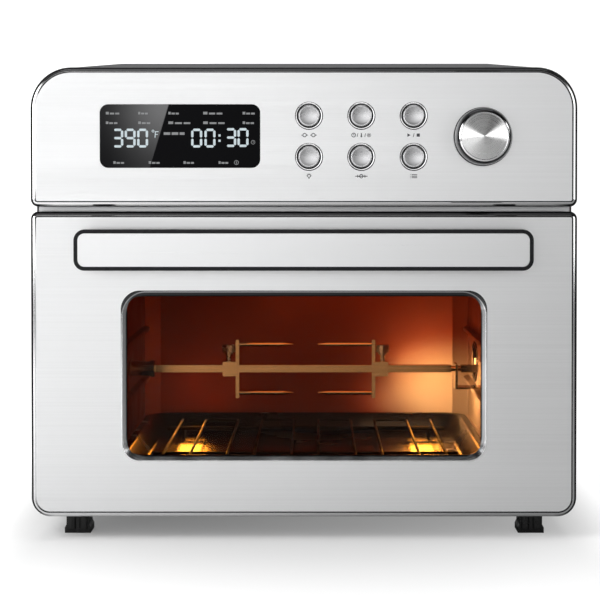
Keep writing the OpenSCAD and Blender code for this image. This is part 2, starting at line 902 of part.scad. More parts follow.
module hinge_notches(w) {
    for (s = [-1, 1])
        translate([s * hinge_x - w / 2, hinge_y - 6.5, door_z0 - 1]) cube([w, 14, 13]);
}

module door_skin() {
    inset = rim_w + groove_w;
    color([0.86, 0.87, 0.87])
    difference() {
        on_door() {
            edge_sweep(body_w, door_h, small_r, door_bottom_r) rim_profile(door_t, 4);
            difference() {
                translate([0, 0, door_t - sheet - groove_d])
                    linear_extrude(sheet + groove_d)
                        rounded(body_w - 2 * inset, door_h - 2 * inset, 0.3,
                            door_bottom_r - inset);
                translate([0, window_z - door_z, 0])
                    linear_extrude(door_t + 1)
                        rounded(window_w, window_h, window_r, window_r);
                for (s = [-1, 1]) translate([s * 150, handle_z - door_z, 0])
                    cylinder(door_t + 1, 2.2, 2.2);
            }
        }
        hinge_notches(7);
    }
}

// Bevelled trim round the window, which holds the outer pane
module window_bezel() {
    front = door_t + 0.4;
    seat = door_t - sheet - groove_d - 0.6;
    color([0.35, 0.36, 0.37])
    on_door(window_z) edge_sweep(window_w, window_h, window_r, window_r)
        polygon([[0, seat], [0, front - 0.2], [-0.4, front], [-0.9, front],
            [-bezel_w, front - 2.4], [-bezel_w, seat]]);
}

glass_front = door_t - sheet - groove_d - 0.6;
glass_t = 4;

module glass_outer() {
    color([0.3, 0.3, 0.3, 0.4])
    on_door(window_z) translate([0, 0, glass_front - glass_t])
        linear_extrude(glass_t) rounded(window_w + 16, window_h + 16, 4, 4);
}

module glass_inner() {
    color([0.3, 0.3, 0.3, 0.4])
    on_door(window_z) translate([0, 0, sheet + 0.1])
        linear_extrude(glass_t) rounded(window_w + 16, window_h + 16, 4, 4);
}

// Inner pan of the door: the rim that the inner pane sits behind, and the hinge ears
module door_inner_frame() {
    w = body_w - 2 * sheet - 0.6;
    z0 = hinge_z - 2.5;
    z1 = door_top - sheet - 0.3;
    h = z1 - z0;
    color([0.2, 0.2, 0.21])
    difference() {
        union() {
            on_door((z0 + z1) / 2) {
                linear_extrude(sheet) rounded(w, h, small_r, 12.5);
                difference() {
                    linear_extrude(12) rounded(w, h, small_r, 12.5);
                    translate([0, 0, -1]) linear_extrude(14)
                        rounded(w - 2, h - 2, small_r - 1, 11.5);
                }
            }
            on_door(window_z) {
                translate([0, 0, sheet + glass_t + 0.2])
                    linear_extrude(glass_front - sheet - 2 * glass_t - 0.3)
                        rounded(window_w + 16, window_h + 16, 4, 4);
                linear_extrude(sheet + glass_t + 0.3)
                    rounded(window_w + 18.4, window_h + 18.4, 5, 5);
            }
            for (s = [-1, 1]) for (e = [-1, 1])
                translate([s * hinge_x + e * 6 - 2.5, hinge_y, hinge_z]) {
                    rod_x(5, 4.4);
                    translate([0, 0, -4.4]) cube([5, door_back_y - hinge_y, 12]);
                    translate([0, -4.4, 0]) cube([5, 8, 7.6]);
                }
        }
        on_door(window_z) {
            translate([0, 0, sheet])
                linear_extrude(glass_t + 0.2) rounded(window_w + 16.4, window_h + 16.4, 4.2, 4.2);
            translate([0, 0, -1])
                linear_extrude(front_t) rounded(window_w - 2 * bezel_w + 4,
                    window_h - 2 * bezel_w + 4, 10, 10);
        }
        for (s = [-1, 1]) {
            translate([s * hinge_x - 9, hinge_y, hinge_z]) rod_x(18, pin_r + 0.08);
            translate([s * hinge_x - 3, hinge_y - 6.5, hinge_z - 8]) cube([6, 14, 14]);
        }
    }
}

// Curved arms that run back into the case; each tail carries the spring's pin
module door_arms() {
    half_w = 4;
    color([0.66, 0.67, 0.68])
    for (s = [-1, 1]) {
        side(s * arm_x - 1.25) translate([hinge_y, hinge_z]) rotate([0, 0, -2])
            rotate_extrude(angle = 87.5)
                translate([arm_r - half_w, 0]) square([2 * half_w, 2.5]);
        translate([s * arm_x - 6, door_back_y, hinge_z + arm_r - 12]) cube([12, 1, 20]);
        translate([s * arm_x - 4.5, hinge_y + arm_r, hinge_z]) rod_x(9, 2);
    }
}

// Black handle body: face slab with a recess, on two posts
module handle_frame() {
    slab = 9;
    front = door_t + handle_reach;
    color([0.05, 0.05, 0.05])
    on_door(handle_z)
    difference() {
        union() {
            translate([0, 0, front - slab])
                linear_extrude(slab) rounded(handle_w, handle_h, 7.8, 7.8);
            for (s = [-1, 1]) translate([s * 150, 0, door_t])
                linear_extrude(front - slab - door_t) rounded(15, 22, 3, 3);
        }
        translate([0, 0, front - 1.5])
            linear_extrude(4) rounded(handle_w - 5.4, handle_h - 5.4, 5.1, 5.1);
        for (s = [-1, 1]) translate([s * 150, 0, door_t - 1]) cylinder(18, 1.7, 1.7);
    }
}

module handle_plate() {
    color([0.86, 0.87, 0.87])
    on_door(handle_z) translate([0, 0, door_t + handle_reach - 1.5])
        linear_extrude(1.3) rounded(handle_w - 5.6, handle_h - 5.6, 5, 5);
}

// Screws that hold the handle's posts from inside the door
module handle_screws() {
    color([0.6, 0.6, 0.61])
    on_door(handle_z) for (s = [-1, 1])
        translate([s * 150, 0, door_t - sheet - groove_d]) screw(1.7, 16, 3.8, 2.4);
}

/* ---- Hinge parts on the case ---- */

// Bracket on the base plate: a tab reaches forward with the hinge pin, and its tail
// turns up behind the closing spring
module hinge_brackets() {
    z0 = base_z + sheet;
    color([0.66, 0.67, 0.68])
    for (s = [-1, 1]) {
        difference() {
            union() {
                translate([s * hinge_x - 2, hinge_y, hinge_z]) rod_x(4, 4);
                translate([s * hinge_x - 2, hinge_y, z0]) cube([4, 44, hinge_z - z0 + 4]);
                translate([s * hinge_x - 6, frame_y + 6, z0])
                    cube([12, spring_y + spring_l - frame_y - 6, 1.2]);
            }
            translate([s * hinge_x - 3, hinge_y - 5, hinge_z - 12]) cube([6, 8, 8]);
        }
        translate([s * hinge_x - 9, hinge_y, hinge_z]) rod_x(18, pin_r);
        translate([s * (hinge_x + arm_x) / 2 - 13, spring_y + spring_l, z0])
            cube([26, 1.5, 10]);
    }
}

// Close-wound closing springs from each arm's pin back to the bracket's tail
module door_springs() {
    turns = 28;
    pitch = spring_l / turns;
    color([0.6, 0.61, 0.62])
    for (s = [-1, 1]) translate([s * arm_x, spring_y, hinge_z]) {
        rotate([-90, 0, 0]) rotate_extrude($fn = 32)
            polygon(concat([[2, 0]],
                [for (i = [0:turns - 1]) for (k = [0, 1])
                    [3.8 - 0.7 * k, (i + 0.5 * k) * pitch]],
                [[3.8, spring_l], [2, spring_l]]));
        translate([2, -3.98, -1]) cube([1.6, 4, 2]);
    }
}

outer_shell();
back_panel();
base_plate();
front_frame();
feet();
case_screws();
wall_spacers();
cord_gland();
cavity_left_wall();
cavity_right_wall();
cavity_back_wall();
cavity_floor();
cavity_ceiling();
fan_guard();
fan_housing();
ring_heater();
rod_heaters();
heater_bushings();
lamp_bulb();
lamp_lens();
spit_bracket();
rotisserie_motor();
fan_motor();
fan_shaft();
fan_blade();
control_fascia();
fascia_carrier();
display_lens();
control_board();
power_board();
encoder();
encoder_shaft();
knob();
button_rings();
button_1();
button_2();
button_3();
button_4();
button_5();
button_6();
hinge_brackets();
door_springs();
crumb_tray();
baking_tray();
wire_rack();
spit_rod();
drive_socket();
fork_left();
fork_right();
fork_screw_left();
fork_screw_right();
door_skin();
window_bezel();
glass_outer();
glass_inner();
door_inner_frame();
handle_frame();
handle_plate();
handle_screws();
door_arms();
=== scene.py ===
import math

import bmesh
import bpy
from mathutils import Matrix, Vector


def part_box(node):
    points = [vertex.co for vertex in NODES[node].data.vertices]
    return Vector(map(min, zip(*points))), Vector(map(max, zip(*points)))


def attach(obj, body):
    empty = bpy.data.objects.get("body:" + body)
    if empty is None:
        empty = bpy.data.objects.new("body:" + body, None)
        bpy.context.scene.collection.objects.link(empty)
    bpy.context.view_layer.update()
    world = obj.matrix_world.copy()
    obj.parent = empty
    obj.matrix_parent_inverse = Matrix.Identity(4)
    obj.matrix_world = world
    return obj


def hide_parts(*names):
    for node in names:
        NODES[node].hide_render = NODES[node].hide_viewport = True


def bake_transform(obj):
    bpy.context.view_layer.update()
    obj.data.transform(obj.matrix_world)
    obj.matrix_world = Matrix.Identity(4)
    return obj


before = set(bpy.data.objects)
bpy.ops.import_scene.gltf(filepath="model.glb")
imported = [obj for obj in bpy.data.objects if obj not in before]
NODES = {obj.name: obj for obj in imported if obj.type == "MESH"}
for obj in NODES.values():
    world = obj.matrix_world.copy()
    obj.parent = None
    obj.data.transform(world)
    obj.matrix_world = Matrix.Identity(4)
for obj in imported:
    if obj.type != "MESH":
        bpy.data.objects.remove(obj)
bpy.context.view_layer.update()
MM = 0.001
BUTTONS = range(1, 7)


# ---- node trees -------------------------------------------------------------------

NOISE_RANGE = (0.3, 0.7)  # where nearly all of a noise's values lie
TIGHT_NOISE_RANGE = (0.35, 0.65)  # where most of them lie, for more contrast
WHITE = (1.0, 1.0, 1.0, 1.0)


class Nodes:
    """Short names for adding nodes to a tree. A call that adds one returns its output."""

    def __init__(self, tree):
        self.tree = tree

    def link(self, source, target):
        self.tree.links.new(source, target)
        return source

    def put(self, value, target):
        """Links a socket, or sets a plain value."""
        if isinstance(value, bpy.types.NodeSocket):
            self.link(value, target)
        else:
            target.default_value = value

    def math(self, operation, *values, clamp=False):
        node = self.tree.nodes.new("ShaderNodeMath")
        node.operation = operation
        node.use_clamp = clamp
        for i, value in enumerate(values):
            self.put(value, node.inputs[i])
        return node.outputs[0]

    def hypot(self, a, b):
        squares = self.math("ADD", self.math("MULTIPLY", a, a), self.math("MULTIPLY", b, b))
        return self.math("SQRT", squares)

    def vector(self, operation, *values):
        node = self.tree.nodes.new("ShaderNodeVectorMath")
        node.operation = operation
        for i, value in enumerate(values):
            self.put(value, node.inputs[i])
        return node.outputs[0]

    def split(self, vector):
        node = self.tree.nodes.new("ShaderNodeSeparateXYZ")
        self.link(vector, node.inputs[0])
        return node.outputs[0], node.outputs[1], node.outputs[2]

    def span(self, source, low, high, low_in=0.0, high_in=1.0, smooth=False):
        """Maps low_in..high_in to low..high, and holds it there outside."""
        node = self.tree.nodes.new("ShaderNodeMapRange")
        node.interpolation_type = "SMOOTHSTEP" if smooth else "LINEAR"
        self.link(source, node.inputs["Value"])
        node.inputs["From Min"].default_value = low_in
        node.inputs["From Max"].default_value = high_in
        self.put(low, node.inputs["To Min"])
        self.put(high, node.inputs["To Max"])
        return node.outputs[0]

    def vary(self, noise, low=0.0, high=1.0):
        """Maps a noise's usual values to low..high."""
        return self.span(noise, low, high, *NOISE_RANGE)

    def mix(self, factor, a, b):
        """Colour a at factor 0, colour b at factor 1."""
        node = self.tree.nodes.new("ShaderNodeMix")
        node.data_type = "RGBA"
        self.link(factor, node.inputs["Factor"])
        for value, target in ((a, node.inputs["A"]), (b, node.inputs["B"])):
            self.put(value if isinstance(value, bpy.types.NodeSocket) else (*value, 1.0), target)
        return node.outputs["Result"]


class Tree(Nodes):
    """One material: a Principled BSDF with what feeds it."""

    def __init__(self, name, colour, metal=0.0, rough=0.5, **sockets):
        self.material = bpy.data.materials.new(name)
        self.material.use_nodes = True
        super().__init__(self.material.node_tree)
        self.bsdf = self.tree.nodes["Principled BSDF"]
        self.set("Base Color", (*colour, 1.0))
        self.set("Metallic", metal)
        self.set("Roughness", rough)
        for key, value in sockets.items():
            self.set(key.replace("_", " "), value)
        self.object = self.tree.nodes.new("ShaderNodeTexCoord").outputs["Object"]

    def set(self, socket, value):
        self.bsdf.inputs[socket].default_value = value

    def feed(self, source, socket):
        return self.link(source, self.bsdf.inputs[socket])

    def stretch(self, scale):
        node = self.tree.nodes.new("ShaderNodeMapping")
        self.link(self.object, node.inputs["Vector"])
        node.inputs["Scale"].default_value = scale
        return node.outputs[0]

    def noise(self, scale, vector=None, detail=3.0, rough=0.5):
        node = self.tree.nodes.new("ShaderNodeTexNoise")
        self.link(vector or self.object, node.inputs["Vector"])
        node.inputs["Scale"].default_value = scale
        node.inputs["Detail"].default_value = detail
        node.inputs["Roughness"].default_value = rough
        return node.outputs["Fac"]

    def bump(self, height, strength, distance, normal=None):
        node = self.tree.nodes.new("ShaderNodeBump")
        self.link(height, node.inputs["Height"])
        self.put(strength, node.inputs["Strength"])
        node.inputs["Distance"].default_value = distance
        if normal is not None:
            self.link(normal, node.inputs["Normal"])
        return self.feed(node.outputs[0], "Normal")

    def bevel(self, radius):
        """A normal that rounds sharp edges."""
        node = self.tree.nodes.new("ShaderNodeBevel")
        node.samples = 4
        node.inputs["Radius"].default_value = radius
        return node.outputs[0]


# ---- kinds of material ------------------------------------------------------------

def shades(colour, amount):
    """A colour a little darker, and a little lighter up to full."""
    dark = tuple(c * (1 - amount) for c in colour)
    light = tuple(min(1.0, c * (1 + amount)) for c in colour)
    return dark, light


def cloud_colour(tree, colour, amount, scale):
    """Slight cloudy variation of the base colour."""
    tree.feed(tree.mix(tree.vary(tree.noise(scale)), *shades(colour, amount)), "Base Color")


def moulded(name, colour, rough, grain=900.0, strength=0.12, edge=0.4 * MM, specular=0.5):
    """Moulded plastic, rubber or ceramic: fine grain, cloudy gloss, soft edges."""
    t = Tree(name, colour, rough=rough, Specular_IOR_Level=specular)
    spread = 0.06
    cloud_colour(t, colour, 0.12, 60)
    t.feed(t.vary(t.noise(45, detail=4), rough - spread, rough + spread), "Roughness")
    t.bump(t.noise(grain, detail=2), strength, 0.2 * MM, t.bevel(edge))
    return t.material


def painted(name, colour, rough, grain=1500.0, strength=0.08, spread=0.06):
    """Painted or enamelled sheet with orange peel."""
    t = Tree(name, colour, rough=rough)
    cloud_colour(t, colour, 0.08, 25)
    t.feed(t.vary(t.noise(18, detail=5), rough - spread, rough + spread), "Roughness")
    t.bump(t.noise(grain, detail=1), strength, 0.2 * MM, t.bevel(0.4 * MM))
    return t.material


def sheet_metal(name, colour, rough, streak=(6, 6, 900), strength=0.05, spread=0.08, cloud=0.05):
    """Bare metal with a fine rolling or brushing direction."""
    t = Tree(name, colour, metal=1.0, rough=rough)
    lines = t.noise(1.0, t.stretch(streak), detail=4, rough=0.65)
    t.feed(t.mix(t.vary(lines), *shades(colour, cloud)), "Base Color")
    t.feed(t.vary(lines, rough - spread, rough + spread), "Roughness")
    t.bump(lines, strength, 0.3 * MM, t.bevel(0.3 * MM))
    return t.material


def polished(name, colour, rough):
    """Polished or plated metal with faint smears."""
    t = Tree(name, colour, metal=1.0, rough=rough)
    cloud_colour(t, colour, 0.03, 40)
    smear = t.noise(30, detail=5, rough=0.6)
    t.feed(t.vary(smear, rough * 0.7, rough * 1.5 + 0.01), "Roughness")
    t.bump(t.noise(500, detail=2), 0.02, 0.1 * MM, t.bevel(0.2 * MM))
    return t.material


def satin_cap():
    """Button cap: smooth satin metal, barely smeared."""
    t = Tree("button_satin_cap", (0.70, 0.70, 0.71), metal=1.0, rough=0.27)
    smear = t.noise(120, detail=2)
    t.feed(t.mix(t.span(smear, 0.0, 1.0, *TIGHT_NOISE_RANGE), (0.60, 0.60, 0.61),
                 (0.62, 0.62, 0.63)), "Base Color")
    t.feed(t.vary(smear, 0.26, 0.29), "Roughness")
    return t.material


def spun_face():
    """Knob's face, turned on a lathe: rings round the piece's own Y axis.

    It is a shallow cone to the light, so that its shine splits into bright and dark sectors.
    """
    colour, rough, cone_slope, rings = (0.84, 0.84, 0.84), 0.29, 0.38, 2600.0
    t = Tree("knob_spun_face", colour, metal=1.0, rough=rough, Anisotropic=0.95,
             Anisotropic_Rotation=0.25)
    tangent = t.tree.nodes.new("ShaderNodeTangent")
    tangent.direction_type = "RADIAL"
    tangent.axis = "Y"
    t.feed(tangent.outputs[0], "Tangent")
    x, _, z = t.split(t.object)
    ring = t.tree.nodes.new("ShaderNodeTexNoise")
    ring.noise_dimensions = "1D"
    t.link(t.hypot(x, z), ring.inputs["W"])
    ring.inputs["Scale"].default_value = rings
    ring.inputs["Detail"].default_value = 2
    turned = ring.outputs["Fac"]
    dark = tuple(c * 0.93 for c in colour)
    t.feed(t.mix(t.vary(turned), dark, colour), "Base Color")
    t.feed(t.vary(turned, rough - 0.04, rough + 0.06), "Roughness")
    from_axis = t.tree.nodes.new("ShaderNodeCombineXYZ")
    t.link(x, from_axis.inputs[0])
    t.link(z, from_axis.inputs[2])
    outward = t.tree.nodes.new("ShaderNodeVectorTransform")
    outward.vector_type = "VECTOR"
    outward.convert_from = "OBJECT"
    outward.convert_to = "WORLD"
    t.link(t.vector("NORMALIZE", from_axis.outputs[0]), outward.inputs[0])
    lean = t.vector("SCALE", outward.outputs[0])
    lean.node.inputs["Scale"].default_value = cone_slope
    geometry = t.tree.nodes.new("ShaderNodeNewGeometry")
    normal = t.vector("NORMALIZE", t.vector("ADD", geometry.outputs["Normal"], lean))
    t.bump(turned, 0.03, 0.15 * MM, normal)
    return t.material


def glass(name, tint, rough=0.0, ior=1.1):
    """Clear pane with a very faint film of smears in its gloss.

    The panes' IOR is low, so that their reflections stay as weak as in the photograph.
    """
    t = Tree(name, tint, rough=rough, IOR=ior, Transmission_Weight=1.0)
    t.feed(t.span(t.noise(22, detail=6, rough=0.6), rough, rough + 0.012, 0.45, 0.75), "Roughness")
    return t.material


def glow(name, colour, strength):
    """Lit mark of the display, a little uneven like a real lamp block."""
    t = Tree(name, (0.02, 0.02, 0.02), rough=0.4)
    dim = tuple(c * 0.86 for c in colour)
    blotch = t.span(t.noise(420, detail=1), 0.0, 1.0, *TIGHT_NOISE_RANGE)
    t.feed(t.mix(blotch, dim, colour), "Emission Color")
    t.set("Emission Strength", strength)
    return t.material


# ---- materials laid out on one piece ------------------------------------------------

NEAR_BLACK = (0.008, 0.008, 0.009)


def rim_distance(t, low, high, r_top, r_bottom):
    """Distance outside a rounded rectangle in X and Z, below zero inside it, and the place."""
    x, y, z = t.split(t.object)
    mid_z, half_w, half_h = (low.z + high.z) / 2, (high.x - low.x) / 2, (high.z - low.z) / 2
    upper = t.math("GREATER_THAN", z, mid_z)
    radius = t.math("MULTIPLY_ADD", upper, r_top - r_bottom, r_bottom)
    from_mid = t.math("ABSOLUTE", t.math("SUBTRACT", z, mid_z))
    dx = t.math("ADD", t.math("SUBTRACT", t.math("ABSOLUTE", x), half_w), radius)
    dz = t.math("ADD", t.math("SUBTRACT", from_mid, half_h), radius)
    corner = t.hypot(t.math("MAXIMUM", dx, 0.0), t.math("MAXIMUM", dz, 0.0))
    inner = t.math("MINIMUM", t.math("MAXIMUM", dx, dz), 0.0)
    return t.math("SUBTRACT", t.math("ADD", corner, inner), radius), (x, y, z)


def front_steel(name, node, colour, rough, r_top, r_bottom):
    """Brushed front plate whose rolled rim is polished, with the rim's light and shade painted
    into its colour.

    Across the rim come a painted dark shade in the groove, a painted highlight on the roll and a
    painted dark shade on the turned-back edge. The painted highlight is painted darker from left
    to right. The groove's painted shade fades out down the left side, and along the bottom the
    edge's painted shade gives way to the highlight colour.
    """
    low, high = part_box(node)
    t = Tree(name, colour, metal=1.0, rough=rough)
    distance, (x, y, z) = rim_distance(t, low, high, r_top, r_bottom)
    rim_depth, rim_rough = 3.4 * MM, 0.10
    # Where each band of the rim gives way to the next, as distance outside the plate's outline
    face_to_groove = (-4.25 * MM, -4.1 * MM)
    groove_to_roll = (-3.4 * MM, -2.95 * MM)
    roll_to_edge = (-2.1 * MM, -1.75 * MM)
    in_front = t.math("LESS_THAN", y, low.y + rim_depth)
    rim = t.math("MULTIPLY", t.span(distance, 0.0, 1.0, *face_to_groove), in_front)
    face = t.math("SUBTRACT", 1.0, rim)
    # Where the rim's painted shade fades out: the groove's down the left side, the edge's along
    # the bottom
    left_closed, under_closed = 0.93, 0.9
    left = t.math("MULTIPLY", t.math("LESS_THAN", x, low.x + 6 * MM),
                  t.math("MULTIPLY",
                         t.span(z, 0.0, left_closed, low.z + 5 * MM, low.z + 16 * MM),
                         t.span(z, left_closed, 0.0, high.z - 34 * MM, high.z - 6 * MM)))
    under = t.math("MULTIPLY", t.math("LESS_THAN", z, low.z + 3 * MM),
                   t.math("MULTIPLY",
                          t.span(x, 0.0, under_closed, low.x + 6 * MM, low.x + 18 * MM),
                          t.span(x, under_closed, 0.0, high.x - 18 * MM, high.x - 6 * MM)))
    # Painted highlight of the polished rim, painted darker from left to right
    bright = t.mix(t.span(x, 0.0, 1.0, low.x, high.x), (0.94, 0.94, 0.95), (0.52, 0.525, 0.53))
    # Painted shade: near-black in the groove and on the turned-back edge
    groove = t.mix(left, NEAR_BLACK, bright)
    roll = t.mix(t.span(distance, 0.0, 1.0, *groove_to_roll), groove, bright)
    outer = t.mix(under, NEAR_BLACK, bright)
    edge = t.mix(t.span(distance, 0.0, 1.0, *roll_to_edge), roll, outer)
    lines = t.noise(1.0, t.stretch((2.5, 2.5, 1100)), detail=5, rough=0.7)
    broad = t.noise(1.0, t.stretch((3, 3, 60)), detail=3, rough=0.6)
    dark = tuple(c * 0.94 for c in colour)
    brushed = t.mix(t.vary(lines), dark, colour)
    t.feed(t.mix(rim, brushed, edge), "Base Color")
    rough_face = t.math("ADD", t.vary(lines, rough - 0.05, rough + 0.05),
                        t.vary(broad, -0.02, 0.02))
    over_rim = t.math("SUBTRACT", rough_face, rim_rough)
    t.feed(t.math("MULTIPLY_ADD", face, over_rim, rim_rough), "Roughness")
    t.bump(lines, t.math("MULTIPLY", face, 0.035), 0.2 * MM)
    return t.material


def liner_steel():
    """Satin aluminised sheet, pale near the lamp's spot and painted dark red away from it: painted
    light and shade.
    """
    t = Tree("aluminised_liner", (0.6, 0.58, 0.54), metal=0.55, rough=0.42)
    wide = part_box("cavity_back_wall")[1].x
    # Painted shade: the sheet stays pale round a spot low on the right by the lamp and turns dark
    # red away from it
    sideways, lamp_spot_x, lamp_spot_z = 0.75, 0.88 * wide, 72 * MM
    shade_from, shade_to = 14 * MM, 60 * MM
    x, _, z = t.split(t.object)
    aside = t.math("MULTIPLY_ADD", x, sideways, -sideways * lamp_spot_x)
    away = t.hypot(aside, t.math("SUBTRACT", z, lamp_spot_z))
    tint = t.span(away, 0.0, 1.0, shade_from, shade_to, smooth=True)
    # Painted shade factor, with a slight random unevenness
    painted_shade = t.math("MULTIPLY", tint, t.vary(t.noise(14), 0.95, 1.0), clamp=True)
    t.feed(t.mix(painted_shade, (0.62, 0.53, 0.42), (0.25, 0.032, 0.005)), "Base Color")
    t.feed(t.vary(t.noise(35, detail=4), 0.36, 0.50), "Roughness")
    t.bump(t.noise(420, detail=2), 0.03, 0.2 * MM, t.bevel(0.8 * MM))
    return t.material


def bezel_chrome():
    """Window trim with painted light and shade: a painted highlight on the outer edge, a grey
    band, painted black shade at the glass, both edge and band painted darker along the top, and a
    painted dark shade line on the outermost edge of the upper half.
    """
    low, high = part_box("window_bezel")
    t = Tree("bezel_dark_chrome", (0.2, 0.2, 0.2), metal=1.0, rough=0.2)
    corner = 18.4 * MM
    glass_to_band = (-4.0 * MM, -3.0 * MM)
    band_to_edge = (-1.6 * MM, -1.2 * MM)
    edge_to_shade = (-0.75 * MM, -0.5 * MM)
    distance, (_, _, z) = rim_distance(t, low, high, corner, corner)
    # Painted light and shade: the edge's painted highlight and the grey band are painted darker
    # along the top, and the band turns to painted black shade at the glass
    top = t.span(z, 0.0, 1.0, high.z - 16 * MM, high.z - 5 * MM)
    band = t.mix(top, (0.52, 0.525, 0.53), (0.05, 0.05, 0.052))
    inner = t.mix(t.span(distance, 0.0, 1.0, *glass_to_band), (0.012, 0.012, 0.013), band)
    edge = t.mix(top, (0.96, 0.96, 0.97), (0.45, 0.45, 0.46))
    lip = t.mix(t.span(distance, 0.0, 1.0, *band_to_edge), inner, edge)
    # Painted dark shade line on the outermost edge of the upper half
    upper_half = t.span(z, 0.0, 0.9, (low.z + high.z) / 2, high.z - 20 * MM)
    shade = t.math("MULTIPLY", t.span(distance, 0.0, 1.0, *edge_to_shade), upper_half)
    t.feed(t.mix(shade, lip, (0.02, 0.02, 0.021)), "Base Color")
    t.feed(t.vary(t.noise(60, detail=4), 0.14, 0.26), "Roughness")
    t.bump(t.noise(500, detail=2), 0.02, 0.1 * MM, t.bevel(0.4 * MM))
    return t.material


# ---- mesh helpers -----------------------------------------------------------------

def finish_mesh(name, bm, materials, body, smooth=True, angle=35.0):
    """Makes an object of the mesh being built, and puts it on its body."""
    mesh = bpy.data.meshes.new(name)
    bmesh.ops.recalc_face_normals(bm, faces=bm.faces)
    bm.to_mesh(mesh)
    bm.free()
    for material in materials if isinstance(materials, (list, tuple)) else [materials]:
        mesh.materials.append(material)
    o = bpy.data.objects.new(name, mesh)
    bpy.context.scene.collection.objects.link(o)
    if smooth:
        mesh.shade_smooth()
        mesh.set_sharp_from_angle(angle=math.radians(angle))
    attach(o, body)
    return o


def lathe(name, profile, centre, materials, body, steps=128, bands=()):
    """Turns (radius, depth) points round Y; depth runs toward -Y from centre.

    bands gives, for each stretch of the profile, the number of its material.
    """
    on_axis = 1e-7
    bm = bmesh.new()
    rings = []
    for radius, depth in profile:
        if radius < on_axis:
            rings.append([bm.verts.new((0, -depth, 0))])
            continue
        rings.append([bm.verts.new((radius * math.cos(a), -depth, radius * math.sin(a)))
                      for a in (2 * math.pi * i / steps for i in range(steps))])
    for k, (a, b) in enumerate(zip(rings, rings[1:])):
        for i in range(steps):
            j = (i + 1) % steps
            if len(a) == 1:
                face = bm.faces.new((a[0], b[i], b[j]))
            elif len(b) == 1:
                face = bm.faces.new((a[i], a[j], b[0]))
            else:
                face = bm.faces.new((a[i], a[j], b[j], b[i]))
            face.material_index = bands[k] if bands else 0
    o = finish_mesh(name, bm, materials, body, angle=30)
    o.location = centre
    return o


def rounded_loop(half_w, half_l, radius, steps=12):
    """Corner points of a rounded rectangle, anticlockwise from the right side."""
    points = []
    for k, (sx, sy) in enumerate(((1, 1), (-1, 1), (-1, -1), (1, -1))):
        cx, cy = sx * (half_w - radius), sy * (half_l - radius)
        for i in range(steps + 1):
            a = math.pi / 2 * (k + i / steps)
            points.append((cx + radius * math.cos(a), cy + radius * math.sin(a)))
    return points


def loft(bm, loops):
    """Skins closed loops of 3-D points that have the same count, and closes both ends."""
    rings = [[bm.verts.new(p) for p in loop] for loop in loops]
    for a, b in zip(rings, rings[1:]):
        for i in range(len(a)):
            j = (i + 1) % len(a)
            bm.faces.new((a[i], a[j], b[j], b[i]))
    bm.faces.new(rings[0])
    bm.faces.new(rings[-1])


class Flat:
    """Flat marks on an upright plane, drawn in millimetres from a centre."""

    def __init__(self, x, z, y, thick=0.04):
        self.x, self.z, self.y, self.thick = x, z, y, thick * MM
        self.bm = bmesh.new()

    def area(self, points):
        """Thin solid with this outline."""
        front = [self.bm.verts.new((self.x + px * MM, self.y - self.thick, self.z + pz * MM))
                 for px, pz in points]
        back = [self.bm.verts.new((v.co.x, self.y, v.co.z)) for v in front]
        self.bm.faces.new(front)
        self.bm.faces.new(back[::-1])
        for i in range(len(front)):
            j = (i + 1) % len(front)
            self.bm.faces.new((front[i], front[j], back[j], back[i]))

    def bar(self, a, b, width, point=0.0):
        """Bar from a to b. Its ends are square, or with point, drawn to a blunt point."""
        ax, az = a
        bx, bz = b
        length = math.hypot(bx - ax, bz - az)
        ux, uz = (bx - ax) / length, (bz - az) / length
        h = width / 2
        nx, nz = -uz * h, ux * h
        p = point * h
        self.area([(ax, az), (ax + ux * p + nx, az + uz * p + nz),
                   (bx - ux * p + nx, bz - uz * p + nz), (bx, bz),
                   (bx - ux * p - nx, bz - uz * p - nz), (ax + ux * p - nx, az + uz * p - nz)])

    def disc(self, cx, cz, r, steps=20):
        self.area([(cx + r * math.cos(2 * math.pi * i / steps),
                    cz + r * math.sin(2 * math.pi * i / steps)) for i in range(steps)])

    def arc(self, cx, cz, r, width, start=0, end=360, steps=28):
        n = max(4, int(steps * abs(end - start) / 360))
        for i in range(n):
            a0 = math.radians(start + (end - start) * i / n)
            a1 = math.radians(start + (end - start) * (i + 1) / n)
            inside, outside = r - width / 2, r + width / 2
            self.area([(cx + q * math.cos(a), cz + q * math.sin(a))
                       for q, a in ((inside, a0), (outside, a0), (outside, a1), (inside, a1))])

    def done(self, name, material, body, slot):
        return finish_mesh(name, self.bm, material, body, smooth=False)


def wire(name, paths, radius, material, body, resolution=6):
    """Round wires along lists of points, as one curve object."""
    curve = bpy.data.curves.new(name, "CURVE")
    curve.dimensions = "3D"
    curve.bevel_depth = radius
    curve.bevel_resolution = resolution
    curve.use_fill_caps = True
    for points in paths:
        spline = curve.splines.new("POLY")
        spline.points.add(len(points) - 1)
        for target, p in zip(spline.points, points):
            target.co = (*p, 1.0)
        spline.use_smooth = True
    o = bpy.data.objects.new(name, curve)
    curve.materials.append(material)
    bpy.context.scene.collection.objects.link(o)
    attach(o, body)
    return o


def dress(material, *names):
    """Gives CAD nodes a material."""
    for name in names:
        slots = NODES[name].data.materials
        slots.clear()
        slots.append(material)


# ---- materials of the oven --------------------------------------------------------

